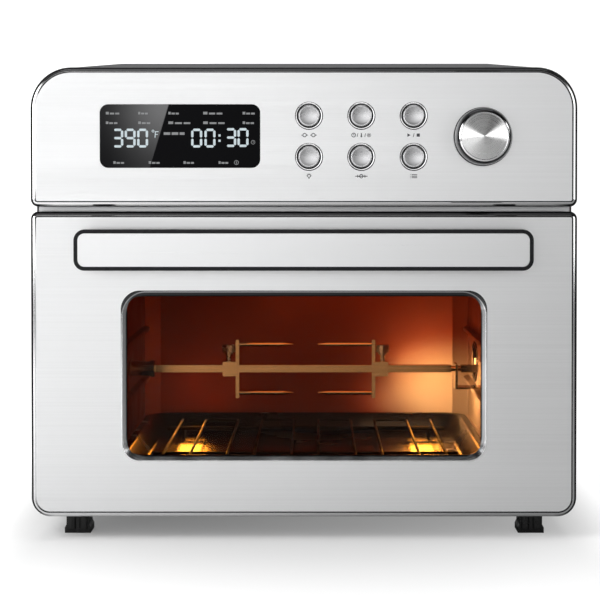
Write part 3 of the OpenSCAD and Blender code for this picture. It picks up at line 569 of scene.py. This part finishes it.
PANEL_STEEL = front_steel("fascia_brushed_steel", "control_fascia", (0.90, 0.905, 0.91), 0.34,
                          30 * MM, 5.5 * MM)
DOOR_STEEL = front_steel("door_brushed_steel", "door_skin", (0.86, 0.865, 0.87), 0.34,
                         5.5 * MM, 14 * MM)
PLATE_STEEL = sheet_metal("handle_brushed_steel", (0.83, 0.835, 0.84), 0.30,
                          streak=(5, 5, 2600), strength=0.012, cloud=0.015, spread=0.03)
CASE = painted("case_powder_coat", (0.035, 0.036, 0.038), 0.36, grain=900, strength=0.15,
               spread=0.012)
ZINC = sheet_metal("galvanised_sheet", (0.52, 0.53, 0.54), 0.42, streak=(60, 60, 60),
                   strength=0.05, cloud=0.12)
FRAME_STEEL = sheet_metal("frame_steel", (0.62, 0.62, 0.63), 0.36)
LINER = liner_steel()
BLACK = moulded("black_moulding", NEAR_BLACK, 0.30, grain=1300, strength=0.05,
                specular=0.15)
DARK_PLASTIC = moulded("carrier_moulding", (0.02, 0.02, 0.02), 0.5)
FOOT = moulded("foot_moulding", (0.006, 0.006, 0.006), 0.32, grain=1100, strength=0.08,
               edge=0.8 * MM, specular=0.3)
CHROME = polished("collar_chrome", (0.90, 0.90, 0.91), 0.08)
SCREW = polished("zinc_plating", (0.62, 0.62, 0.64), 0.22)
BEZEL = bezel_chrome()
GLASS = glass("door_glass", (0.90, 0.86, 0.80))
TINTED = glass("bronze_glass", (0.74, 0.53, 0.36))
LAMP_GLASS = glass("lamp_glass", (1.0, 0.97, 0.9), rough=0.12, ior=1.35)
CERAMIC = moulded("bushing_ceramic", (0.80, 0.76, 0.68), 0.55, grain=1500, strength=0.2)
SHEATH = painted("heater_sheath", (0.10, 0.085, 0.075), 0.42, grain=2600, strength=0.2)
ROD = sheet_metal("heater_rod", (0.50, 0.44, 0.38), 0.32, streak=(400, 30, 30), cloud=0.2)
WIRE = polished("plated_wire", (0.022, 0.021, 0.020), 0.52)
SPIT = sheet_metal("spit_steel", (0.88, 0.82, 0.66), 0.15, streak=(8, 700, 700), strength=0.02)
ENAMEL = painted("tray_enamel", NEAR_BLACK, 0.27, grain=260, strength=0.001,
                 spread=0.008)
PAN = painted("door_pan_enamel", (0.02, 0.02, 0.022), 0.28)
BOARD = painted("board_resist", (0.01, 0.07, 0.03), 0.35, grain=2500)
MOTOR = painted("motor_lamination", (0.22, 0.225, 0.24), 0.45)
ALUMINIUM = sheet_metal("fan_aluminium", (0.72, 0.73, 0.74), 0.34)
SPUN_FACE = spun_face()
CAP = satin_cap()
# Near-black: painted shade on the knob's base ring and on the collars' inner walls and outer edges
SHADE_BLACK = polished("painted_shade_black", (0.02, 0.02, 0.022), 0.3)
KNOB_SIDE = polished("knob_dark_chrome", (0.055, 0.055, 0.058), 0.10)
DIGIT = glow("digit_glow", (0.62, 0.72, 0.76), 0.95)
MARK = glow("mark_glow", (0.40, 0.41, 0.42), 0.55)
INK = painted("panel_ink", (0.035, 0.035, 0.04), 0.5)
SLOT_DARK = painted("recess_shadow", (0.01, 0.01, 0.01), 0.6)

dress(PANEL_STEEL, "control_fascia")
dress(DOOR_STEEL, "door_skin")
dress(PLATE_STEEL, "handle_plate")
dress(CASE, "outer_shell")
dress(ZINC, "back_panel", "base_plate", "fan_housing", "hinge_brackets", "crumb_tray",
      "door_arms")
dress(FRAME_STEEL, "front_frame")
dress(LINER, "cavity_left_wall", "cavity_right_wall", "cavity_back_wall", "cavity_floor",
      "cavity_ceiling", "fan_guard")
dress(BLACK, "handle_frame", "wall_spacers", "cord_gland")
dress(DARK_PLASTIC, "fascia_carrier")
dress(FOOT, "feet")
dress(SCREW, "case_screws", "handle_screws", "fork_screw_left", "fork_screw_right",
      "fan_shaft", "encoder_shaft")
dress(BEZEL, "window_bezel")
dress(GLASS, "glass_outer")
dress(TINTED, "glass_inner")
dress(LAMP_GLASS, "lamp_lens")
dress(CERAMIC, "heater_bushings")
dress(SHEATH, "ring_heater")
dress(ROD, "rod_heaters")
dress(SPIT, "spit_rod", "drive_socket", "fork_left", "fork_right", "spit_bracket")
dress(PAN, "door_inner_frame")
dress(BOARD, "control_board", "power_board")
dress(MOTOR, "rotisserie_motor", "fan_motor")
dress(ALUMINIUM, "fan_blade", "encoder")


# ---- display ----------------------------------------------------------------------

def display_cover():
    """Gloss black window with a slanted paler zone painted in its colour: a painted glare
    reflection.
    """
    t = Tree("display_cover", (0.006, 0.006, 0.007), rough=0.10, Specular_IOR_Level=0.03)
    low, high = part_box("display_lens")
    slope, share, blur = 0.30, 0.43, 0.3 * MM
    top_end = low.x + share * (high.x - low.x)
    x, _, z = t.split(t.object)
    slant = t.math("MULTIPLY_ADD", z, -slope, x)
    edge = top_end - slope * high.z
    zone = t.span(slant, 1.0, 0.0, edge - blur, edge + blur)
    fade_z = t.span(z, 0.25, 1.0, low.z, high.z, smooth=True)
    fade_x = t.span(x, 0.1, 1.0, low.x, top_end, smooth=True)
    # Painted glare reflection
    glare = t.math("MULTIPLY", zone, t.math("MULTIPLY", fade_z, fade_x))
    t.feed(t.mix(glare, (0.0015, 0.0015, 0.002), (0.115, 0.115, 0.117)), "Base Color")
    t.feed(t.vary(t.noise(30, detail=5), 0.06, 0.13), "Roughness")
    t.bump(t.noise(300, detail=1), 0.01, 0.1 * MM, t.bevel(0.8 * MM))
    dress(t.material, "display_lens")


SEGMENTS = {"0": "abcdef", "3": "abcdg", "9": "abcdfg"}


def digit(flat, char, left, bottom, wide):
    """One seven-segment digit with its lower left corner at left, bottom."""
    tall, width, gap, point = 13.8, 1.75, 0.35, 0.8
    x0, x1 = left + width / 2, left + wide - width / 2
    z0, z1 = bottom + width / 2, bottom + tall - width / 2
    mid = (z0 + z1) / 2
    ends = {
        "a": ((x0, z1), (x1, z1)), "g": ((x0, mid), (x1, mid)), "d": ((x0, z0), (x1, z0)),
        "f": ((x0, mid), (x0, z1)), "b": ((x1, mid), (x1, z1)), "e": ((x0, z0), (x0, mid)),
        "c": ((x1, z0), (x1, mid)),
    }
    for segment in SEGMENTS[char]:
        (ax, az), (bx, bz) = ends[segment]
        length = math.hypot(bx - ax, bz - az)
        ux, uz = (bx - ax) / length * gap, (bz - az) / length * gap
        flat.bar((ax + ux, az + uz), (bx - ux, bz - uz), width, point)


def lit_marks(centre, face_y):
    """Temperature, unit, and hours and minutes."""
    lit = Flat(centre.x, centre.z, face_y)
    for chars, lefts, bottom, wide in (("390", (-49.3, -40.3, -31.2), -8.4, 8.0),
                                       ("00", (8.2, 17.9), -8.4, 8.1),
                                       ("30", (33.0, 42.0), -8.0, 8.1)):
        for char, left in zip(chars, lefts):
            digit(lit, char, left, bottom, wide)
    colon_x, dot = 28.9, 0.8
    for z in (-3.4, 0.4):
        lit.area([(colon_x - dot, z - dot), (colon_x + dot, z - dot),
                  (colon_x + dot, z + dot), (colon_x - dot, z + dot)])
    # Degree ring and unit letter beside the temperature
    lit.arc(-19.6, 3.6, 0.75, 0.4)
    lit.bar((-18.2, -1.2), (-17.8, 3.4), 0.55)
    lit.bar((-17.8, 3.2), (-15.6, 3.2), 0.55)
    lit.bar((-18.0, 1.2), (-16.2, 1.2), 0.5)
    lit.done("display_digits", DIGIT, "root", "gloss_black")


def dim_marks(centre, face_y):
    """Rows of plain rules, each standing for a printed mode name, and a clock and a lamp sign."""
    dim = Flat(centre.x, centre.z, face_y)
    # (left end, length) of each rule
    top = ((-54, 9.8), (-30.4, 7.0), (-8.4, 7.6), (17.0, 14.0), (45.8, 8.8))
    second = ((-54, 8.4), (-30.4, 8.8), (-8.4, 16.0), (17.0, 15.6), (45.8, 8.2))
    bottom = ((-48.6, 7.8), (-22.8, 8.0), (2.6, 7.6), (28.2, 7.0))
    heavy, light, drop = 1.9, 1.3, 0.3
    for row, z in ((top, 16.7), (second, 9.7), (bottom, -19.3)):
        for x, w in row:
            dim.bar((x, z), (x + w * 0.22, z), heavy)
            dim.bar((x + w * 0.30, z - drop), (x + w * 0.62, z - drop), light)
            dim.bar((x + w * 0.70, z - drop), (x + w, z - drop), light)
    for x0, x1 in ((-11.8, -7.0), (-6.0, -1.2), (-0.2, 3.4)):
        dim.bar((x0, 1.8), (x1, 1.8), heavy)
    dim.arc(53.4, -4.5, 1.35, 0.35)
    dim.bar((53.4, -4.5), (53.4, -3.6), 0.3)
    dim.bar((53.4, -4.5), (54.1, -4.5), 0.3)
    dim.arc(41.2, -19.3, 1.5, 0.4)
    dim.bar((41.2, -20.2), (41.2, -18.4), 0.5)
    dim.done("display_mode_marks", MARK, "root", "gloss_black")


def display_marks():
    """Everything that shows on the display."""
    low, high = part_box("display_lens")
    centre = (low + high) / 2
    lit_marks(centre, low.y)
    dim_marks(centre, low.y)


display_cover()
display_marks()


# ---- knob, buttons and their printed marks -----------------------------------------

def front_centre(node, y):
    """Middle of a node seen from the front, at this Y."""
    low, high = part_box(node)
    return Vector(((low.x + high.x) / 2, y, (low.z + high.z) / 2))


def knob():
    """Knob with a bulging dark flank, a bright lip, a slightly dished spun face and painted black
    shade on its base ring by the fascia.
    """
    low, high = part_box("knob")
    centre = front_centre("knob", high.y)
    r, depth = (high.x - low.x) / 2, high.y - low.y
    bulge_r, bulge_base, bulge_in = r - 0.5 * MM, 2.5 * MM, 2.7 * MM
    rise = depth - 3.1 * MM
    lip = r - 3.4 * MM
    face_edge, face_drop, dish = lip - 1.5 * MM, 0.5 * MM, 1.1 * MM
    flank_steps, face_steps, turn_steps = 10, 12, 160
    side = [(3.0 * MM, 0.4 * MM), (r - 1.2 * MM, 0.1 * MM), (r - 0.3 * MM, 0.4 * MM),
            (r, 1.1 * MM), (r - 0.1 * MM, 2.0 * MM), (bulge_r, bulge_base)]
    for i in range(1, flank_steps + 1):
        a = math.pi / 2 * i / flank_steps
        side.append((bulge_r - bulge_in * (1 - math.cos(a)), bulge_base + rise * math.sin(a)))
    side += [(lip - 0.5 * MM, depth - 0.25 * MM), (lip - 0.9 * MM, depth - 0.05 * MM),
             (lip - 1.2 * MM, depth - 0.1 * MM), (face_edge, depth - face_drop)]
    # Painted black shade on the base ring by the fascia, then the dark flank, then the bright lip
    bands = [1] * 5 + [0] * flank_steps + [2] * 4
    o = lathe("knob_body", side, centre, [KNOB_SIDE, SHADE_BLACK, CHROME], "knob",
              steps=turn_steps, bands=bands)
    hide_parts("knob")
    face = []
    for i in range(face_steps + 1):
        inward = i / face_steps
        face.append((face_edge * (1 - inward), depth - face_drop - dish * inward))
    lathe("knob_face", face, centre, SPUN_FACE, "knob", steps=turn_steps)


def button(number):
    """Dished cap and its stem, with depths counted back from the cap's front."""
    node = f"button_{number}"
    low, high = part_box(node)
    centre = front_centre(node, low.y)
    r, cap_back = 7.95 * MM, -7.2 * MM
    dish_r, dish_start, dish, dish_steps = r - 0.9 * MM, -0.08 * MM, 0.62 * MM, 10
    cap = [(r - 0.5 * MM, cap_back), (r, -6.8 * MM), (r, -0.9 * MM),
           (r - 0.15 * MM, -0.45 * MM), (r - 0.5 * MM, -0.16 * MM), (dish_r, -0.05 * MM)]
    for i in range(1, dish_steps + 1):
        q = 1 - i / dish_steps
        cap.append((dish_r * q, dish_start - dish * (1 - q * q)))
    o = lathe(f"button_cap_{number}", cap, centre, CAP, node, steps=96)
    flange_r, stem_r, stem_back = 8.9 * MM, 2.0 * MM, low.y - high.y + 0.05 * MM
    stem = [(0, cap_back), (r - 0.5 * MM, cap_back), (flange_r, -7.7 * MM),
            (flange_r, -9.3 * MM), (stem_r, -9.3 * MM), (stem_r, stem_back), (0, stem_back)]
    lathe(f"button_stem_{number}", stem, centre, DARK_PLASTIC, node, steps=64)
    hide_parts(node)


def collar(number):
    """Bright ring round a button, with painted shade: a dark outer edge and a black inner wall."""
    centre = front_centre(f"button_{number}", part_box("button_rings")[0].y)
    inner, outer = 8.15 * MM, 10.2 * MM
    profile = [(inner, -2.6 * MM), (inner, -0.5 * MM), (inner + 0.35 * MM, -0.16 * MM),
               (inner + 0.7 * MM, -0.02 * MM), (outer - 0.75 * MM, -0.02 * MM),
               (outer - 0.45 * MM, -0.2 * MM), (outer, -0.62 * MM), (outer, -0.88 * MM)]
    # Painted shade on the inner wall and the outer edge, chrome on the top
    return lathe(f"button_collar_{number}", profile, centre, [CHROME, SHADE_BLACK], "root",
                 steps=96, bands=(1, 1, 1, 0, 0, 1, 1))


def panel_marks():
    """Printed pictograms under the buttons, in millimetres from each mark's middle."""
    face_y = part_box("control_fascia")[0].y
    below = 14.1 * MM
    centres = [front_centre(f"button_{number}", face_y) for number in BUTTONS]
    marks = [Flat(c.x, c.z - below, c.y) for c in centres]
    w = 0.56
    # Two pans
    for x in (-3.2, 3.2):
        marks[0].arc(x, 0, 1.25, w)
        marks[0].bar((x - 2.4, 0), (x - 1.4, 0), w)
        marks[0].bar((x + 1.4, 0), (x + 2.4, 0), w)
    # Clock, thermometer, sun
    marks[1].arc(-5.6, 0, 1.4, w)
    marks[1].bar((-5.6, 0), (-5.6, 0.9), w * 0.8)
    marks[1].bar((-5.6, 0), (-4.9, 0), w * 0.8)
    marks[1].disc(0, -0.9, 0.65)
    marks[1].bar((0, -0.9), (0, 1.5), w * 1.3)
    marks[1].arc(5.6, 0, 0.75, w)
    for a in range(0, 360, 45):
        c, s = math.cos(math.radians(a)), math.sin(math.radians(a))
        marks[1].bar((5.6 + 1.15 * c, 1.15 * s), (5.6 + 1.65 * c, 1.65 * s), w * 0.8)
    for x in (-2.8, 2.8):
        marks[1].bar((x - 0.3, -1.3), (x + 0.3, 1.3), w * 0.8)
    # Run and stop
    marks[2].area([(-4.6, -1.3), (-2.2, 0), (-4.6, 1.3)])
    marks[2].bar((-0.35, -1.3), (0.35, 1.3), w * 0.8)
    marks[2].area([(2.2, -1.15), (4.5, -1.15), (4.5, 1.15), (2.2, 1.15)])
    # Lamp
    marks[3].arc(0, 0.25, 1.05, w, -60, 240)
    marks[3].bar((-0.5, -1.0), (0.5, -1.0), w)
    marks[3].bar((-0.4, -1.5), (0.4, -1.5), w * 0.8)
    for a in (0, 45, 90, 135, 180):
        c, s = math.cos(math.radians(a)), math.sin(math.radians(a))
        marks[3].bar((1.5 * c, 0.25 + 1.5 * s), (2.0 * c, 0.25 + 2.0 * s), w * 0.8)
    # Spit
    marks[4].bar((-4.6, 0), (4.6, 0), w)
    marks[4].arc(0, 0, 1.25, w)
    for x in (-2.6, 2.6):
        marks[4].bar((x, -1.0), (x, 1.0), w)
    # List
    for z in (-1.1, 0, 1.1):
        marks[5].disc(-2.3, z, 0.28, 10)
        marks[5].bar((-1.5, z), (2.6, z), w)
    for number, mark in zip(BUTTONS, marks):
        mark.done(f"button_mark_{number}", INK, "root", "gloss_black")


knob()
for number in BUTTONS:
    button(number)
collars = [collar(number) for number in BUTTONS]
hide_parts("button_rings")
panel_marks()


# ---- tray, rack and springs --------------------------------------------------------

def tray():
    """Pressed tray with a rolled rim, sloping walls and a flat floor."""
    low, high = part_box("baking_tray")
    centre = (low + high) / 2
    half_w, half_l = (high.x - low.x) / 2, (high.y - low.y) / 2
    deep = high.z - low.z
    rim = 6 * MM
    corner = 24 * MM
    # Each point: inset from the rim's edge, height above the underside, corner radius
    inside = [
        (0.0, deep - 0.9 * MM, corner), (0.1 * MM, deep - 0.3 * MM, corner),
        (0.6 * MM, deep, 23.6 * MM), (rim - 1.4 * MM, deep - 0.1 * MM, 20.5 * MM),
        (rim - 0.2 * MM, deep - 0.5 * MM, 20 * MM), (rim + 0.7 * MM, deep - 1.8 * MM, 19.5 * MM),
        (rim + 7.6 * MM, 4.2 * MM, 16 * MM), (rim + 8.6 * MM, 2.6 * MM, 15.5 * MM),
        (rim + 10.2 * MM, 1.5 * MM, 14.6 * MM), (rim + 12.4 * MM, 1.15 * MM, 13.6 * MM),
        (rim + 40 * MM, 1.0 * MM, 10 * MM), (rim + 90 * MM, 1.0 * MM, 6 * MM),
    ]
    underside = [
        (rim + 90 * MM, 0.0, 6 * MM), (rim + 12 * MM, 0.0, 13.6 * MM),
        (rim + 9.4 * MM, 0.8 * MM, 14.6 * MM), (rim + 7.4 * MM, 3.0 * MM, 16 * MM),
        (rim + 0.2 * MM, deep - 2.6 * MM, 19.5 * MM), (rim - 1.0 * MM, deep - 1.2 * MM, 20.5 * MM),
        (0.0, deep - 1.2 * MM, corner),
    ]
    loops = []
    for inset, height, radius in underside + inside:
        outline = rounded_loop(half_w - inset, half_l - inset, radius)
        loops.append([(centre.x + x, centre.y + y, low.z + height) for x, y in outline])
    bm = bmesh.new()
    loft(bm, loops)
    o = finish_mesh("tray_enamelled", bm, ENAMEL, "tray", angle=60)
    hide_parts("baking_tray")


def bend(points, radius, steps=6):
    """Rounds the corners of an open line of 3-D points."""
    out = [Vector(points[0])]
    for a, b, c in zip(points, points[1:], points[2:]):
        a, b, c = Vector(a), Vector(b), Vector(c)
        u, v = (a - b).normalized(), (c - b).normalized()
        r = min(radius, (a - b).length * 0.49, (c - b).length * 0.49)
        start, end = b + u * r, b + v * r
        for i in range(steps + 1):
            t = i / steps
            out.append(start * (1 - t) ** 2 + b * (2 * t * (1 - t)) + end * t ** 2)
    out.append(Vector(points[-1]))
    return out


def rack():
    """One wire bent to and fro along the tray, on two cross wires with legs."""
    low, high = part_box("wire_rack")
    run_r, cross_r, leg_r = 1.1 * MM, 1.8 * MM, 1.4 * MM
    cad_run_r, sink = 1.5 * MM, 0.5 * MM
    pitch, loop, bend_r = 49.6 * MM, 21 * MM, 7 * MM
    top = high.z - cad_run_r
    front, back = low.y + cad_run_r, high.y - cad_run_r
    line = []
    for i in range(-2, 3):
        for x, start, end in ((i * pitch - loop / 2, back, front),
                              (i * pitch + loop / 2, front, back)):
            line += [(x, start, top), (x, end, top)]
    wires = wire("rack_wires", [bend(line, bend_r)], run_r, WIRE, "tray")
    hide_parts("wire_rack")
    z = top - cad_run_r - cross_r + sink
    reach, inset, leg_x = (high.x - low.x) / 2 - cross_r, 34 * MM, 106 * MM
    foot_z = low.z + 0.05 * MM
    cross = []
    legs = []
    for y in (front + inset, back - inset):
        cross.append([(-reach, y, z), (reach, y, z)])
        for x in (-leg_x, leg_x):
            legs.append([(x, y, z), (x, y, foot_z)])
    wire("rack_cross_wires", cross, cross_r, WIRE, "tray")
    wire("rack_legs", legs, leg_r, WIRE, "tray")


def spring_mesh(name, points, thick):
    """Spring as a mesh, made from its wire curve."""
    curve = wire(name, [points], thick, SCREW, "root", resolution=2)
    mesh = bpy.data.meshes.new_from_object(curve)
    name = curve.name
    bpy.data.objects.remove(curve)
    spring = bpy.data.objects.new(name, mesh)
    bpy.context.scene.collection.objects.link(spring)
    return spring


def springs():
    """Closing springs, which stretch between the case and the door."""
    low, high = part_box("door_springs")
    outer, thick = 3.8 * MM, 0.6 * MM
    middle = outer - thick
    half_x, z = (high.x - low.x) / 2, (low.z + high.z) / 2
    coil_front, back = low.y + 4 * MM, high.y
    turns, turn_steps = 56, 12
    for side, sign in (("left", -1), ("right", 1)):
        cx = sign * (half_x - outer)
        points = [(cx + middle, low.y + thick, z)]
        for i in range(turns * turn_steps + 1):
            a = 2 * math.pi * i / turn_steps
            along = i / (turns * turn_steps)
            points.append((cx + middle * math.cos(a), coil_front + (back - coil_front) * along,
                           z + middle * math.sin(a)))
        spring = spring_mesh(f"closing_spring_{side}", points, thick)
        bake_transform(spring)
    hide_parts("door_springs")


tray()
rack()
springs()


# ---- lamp, screw heads --------------------------------------------------------------

def bulb():
    """Lit lamp."""
    t = Tree("lamp_filament_glow", (1.0, 0.85, 0.6), rough=0.3)
    t.feed(t.mix(t.vary(t.noise(200)), (1.0, 0.62, 0.25), (1.0, 0.74, 0.38)), "Emission Color")
    t.set("Emission Strength", 6.0)
    dress(t.material, "lamp_bulb")


def screw_recess_shadows():
    """Painted shadows of the cross recesses in the screw heads of the back panel: flat near-black
    crosses, drawn from the frame's origin.
    """
    head_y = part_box("case_screws")[1].y
    columns, rows = (-186, -62, 62, 186), (30, 225)
    arm, width = 1.9, 0.8
    # Flat crosses carrying the painted recess shadow
    crosses = Flat(0, 0, head_y + 0.03 * MM, thick=0.02)
    for x in columns:
        for z in rows:
            crosses.bar((x - arm, z), (x + arm, z), width)
            crosses.bar((x, z - arm), (x, z + arm), width)
    crosses.done("screw_recess_shadows", SLOT_DARK, "root", "screw")


bulb()
screw_recess_shadows()


# ---- studio -----------------------------------------------------------------------

def floor_sheet():
    """Floor that curves up into a backdrop."""
    half_wide, front, back, rise, r, curve_steps = 5.0, -4.0, 2.2, 2.6, 1.0, 16
    profile = [(front, 0.0), (back - r, 0.0)]
    for i in range(1, curve_steps + 1):
        a = math.pi / 2 * i / curve_steps
        profile.append((back - r + r * math.sin(a), r - r * math.cos(a)))
    profile.append((back, rise))
    bm = bmesh.new()
    rows = [[bm.verts.new((x, y, z)) for y, z in profile] for x in (-half_wide, half_wide)]
    for i in range(len(profile) - 1):
        bm.faces.new((rows[0][i], rows[1][i], rows[1][i + 1], rows[0][i + 1]))
    mesh = bpy.data.meshes.new("floor")
    bm.to_mesh(mesh)
    bm.free()
    mesh.shade_smooth()
    return mesh


def floor():
    """Pale floor that brightens away from the oven, to the camera only, not in reflections."""
    t = Tree("studio_floor", (0.52, 0.52, 0.52), rough=0.7, Specular_IOR_Level=0.2)
    most = 0.85
    x, y, _ = t.split(t.object)
    around = t.span(t.hypot(x, y), 0.14, 0.72, 0.1, 0.7, smooth=True)
    to_right = t.span(x, -0.10, 0.27, -0.35, 0.30)
    beside = t.math("MULTIPLY", t.span(t.math("ABSOLUTE", x), 0.0, 0.55, 0.19, 0.27, smooth=True),
                    t.span(y, 0.0, 1.0, -0.34, -0.16, smooth=True))
    boost = t.math("ADD", t.math("ADD", around, to_right), beside)
    # Base colour darker to the right: painted shade, seen in the steel front's reflections
    t.feed(t.mix(t.span(x, 0.0, 1.0, -0.25, 0.30), (0.56, 0.56, 0.56), (0.33, 0.33, 0.33)),
           "Base Color")
    path = t.tree.nodes.new("ShaderNodeLightPath")
    seen = t.math("MULTIPLY", t.math("MINIMUM", boost, most), path.outputs["Is Camera Ray"])
    t.feed(seen, "Emission Strength")
    t.set("Emission Color", WHITE)
    mesh = floor_sheet()
    mesh.materials.append(t.material)
    o = bpy.data.objects.new("floor", mesh)
    bpy.context.scene.collection.objects.link(o)


def area(name, location, target, size, power, colour=WHITE[:3], glossy=True, height=None,
         spread=180):
    """Area light at location that faces target: a square, or a rectangle of this height."""
    light = bpy.data.lights.new(name, "AREA")
    light.energy = power
    light.color = colour
    light.size = size
    light.spread = math.radians(spread)
    if height:
        light.shape = "RECTANGLE"
        light.size_y = height
    o = bpy.data.objects.new(name, light)
    o.location = location
    o.rotation_euler = (Vector(target) - Vector(location)).to_track_quat("-Z", "Y").to_euler()
    o.visible_glossy = glossy
    o.visible_camera = False
    o.visible_transmission = False
    bpy.context.scene.collection.objects.link(o)


def studio_world():
    """Soft surround, by direction: x to the right, y away from the camera, z up.

    In front of the oven it is brightest to the left, with a bright strip on each side.
    """
    world = bpy.data.worlds.new("studio_world")
    world.use_nodes = True
    t = Nodes(world.node_tree)
    darkest, brightest, strip_strength = 0.05, 1.78, 3.3
    x, y, z = t.split(t.tree.nodes.new("ShaderNodeTexCoord").outputs["Generated"])
    aside = t.math("ABSOLUTE", x)
    front = t.span(y, 1.0, 0.0, -0.5, -0.1, smooth=True)
    to_left = t.math("MULTIPLY_ADD", x, -4.2, 1.38)
    core = t.math("MULTIPLY_ADD", t.math("MINIMUM", z, 0.03), 2.3, to_left)
    core = t.math("MINIMUM", t.math("MAXIMUM", core, darkest), brightest)
    core = t.math("MULTIPLY", core, t.span(aside, 1.0, 0.06, 0.30, 0.42, smooth=True))
    core = t.math("MULTIPLY", core, t.span(z, 1.0, 0.03, 0.18, 0.34, smooth=True))
    strip = t.math("MULTIPLY", t.span(aside, 0.0, strip_strength, 0.46, 0.52, smooth=True),
                   t.span(aside, 1.0, 0.0, 0.74, 0.80, smooth=True))
    strip = t.math("MULTIPLY", strip, t.span(z, 1.0, 0.0, 0.32, 0.44, smooth=True))
    ahead = t.math("MULTIPLY", front, t.math("ADD", core, strip))
    rest = t.math("MULTIPLY", t.math("SUBTRACT", 1.0, front), t.span(z, 0.30, 0.80))
    path = t.tree.nodes.new("ShaderNodeLightPath")
    background = t.tree.nodes["Background"]
    t.link(t.math("MAXIMUM", t.math("ADD", ahead, rest), path.outputs["Is Camera Ray"]),
           background.inputs["Strength"])
    background.inputs["Color"].default_value = WHITE
    return world


def studio():
    """Surround, a soft key light from the upper left and a broad light overhead."""
    scene = bpy.context.scene
    scene.view_settings.view_transform = "Standard"
    scene.world = studio_world()
    area("key", (-1.0, -1.1, 0.95), (-0.22, -0.5, 0), 0.9, 28, glossy=False)
    area("top", (0, -0.1, 1.9), (0, 0, 0), 1.6, 10)


def cavity_light():
    """Warm light of the oven's own lamp, the red of its heaters, and their shine on the tray."""
    cream, amber = (1.0, 0.82, 0.62), (1.0, 0.70, 0.40)
    orange, red = (1.0, 0.46, 0.06), (1.0, 0.28, 0.05)
    area("cavity_lamp", (0.094, 0.100, 0.064), (0.094, 0.134, 0.058), 0.09, 0.0098, cream,
         height=0.02)
    area("cavity_side", (0.108, 0.030, 0.088), (0.145, 0.060, 0.092), 0.03, 0.140, amber)
    area("cavity_glow", (-0.10, 0.03, 0.064), (-0.09, 0.134, 0.062), 0.05, 0.012, red)
    area("cavity_roof", (0.04, -0.04, 0.215), (0.04, 0.08, 0.12), 0.18, 0.115, red)
    # Two narrow lights behind the tray, for the gold shine off its floor
    for name, x, width in (("heater_shine_left", -0.102, 0.022),
                           ("heater_shine_right", 0.104, 0.024)):
        area(name, (x, 0.122, 0.074), (0.1 * x, -1.4, -0.17), width, 0.0036, orange, spread=30)


def camera():
    """Long lens, level with the upper half of the oven and tilted slightly down."""
    tilt_down = 1.07
    data = bpy.data.cameras.new("camera")
    data.sensor_width = 36.0
    data.lens = 104.4
    data.shift_x = -0.0294
    data.shift_y = -0.13
    o = bpy.data.objects.new("camera", data)
    o.location = (0.010, -1.439, 0.2576)
    o.rotation_euler = (math.radians(90 - tilt_down), 0, 0)
    bpy.context.scene.collection.objects.link(o)
    bpy.context.scene.camera = o


floor()
studio()
cavity_light()
camera()
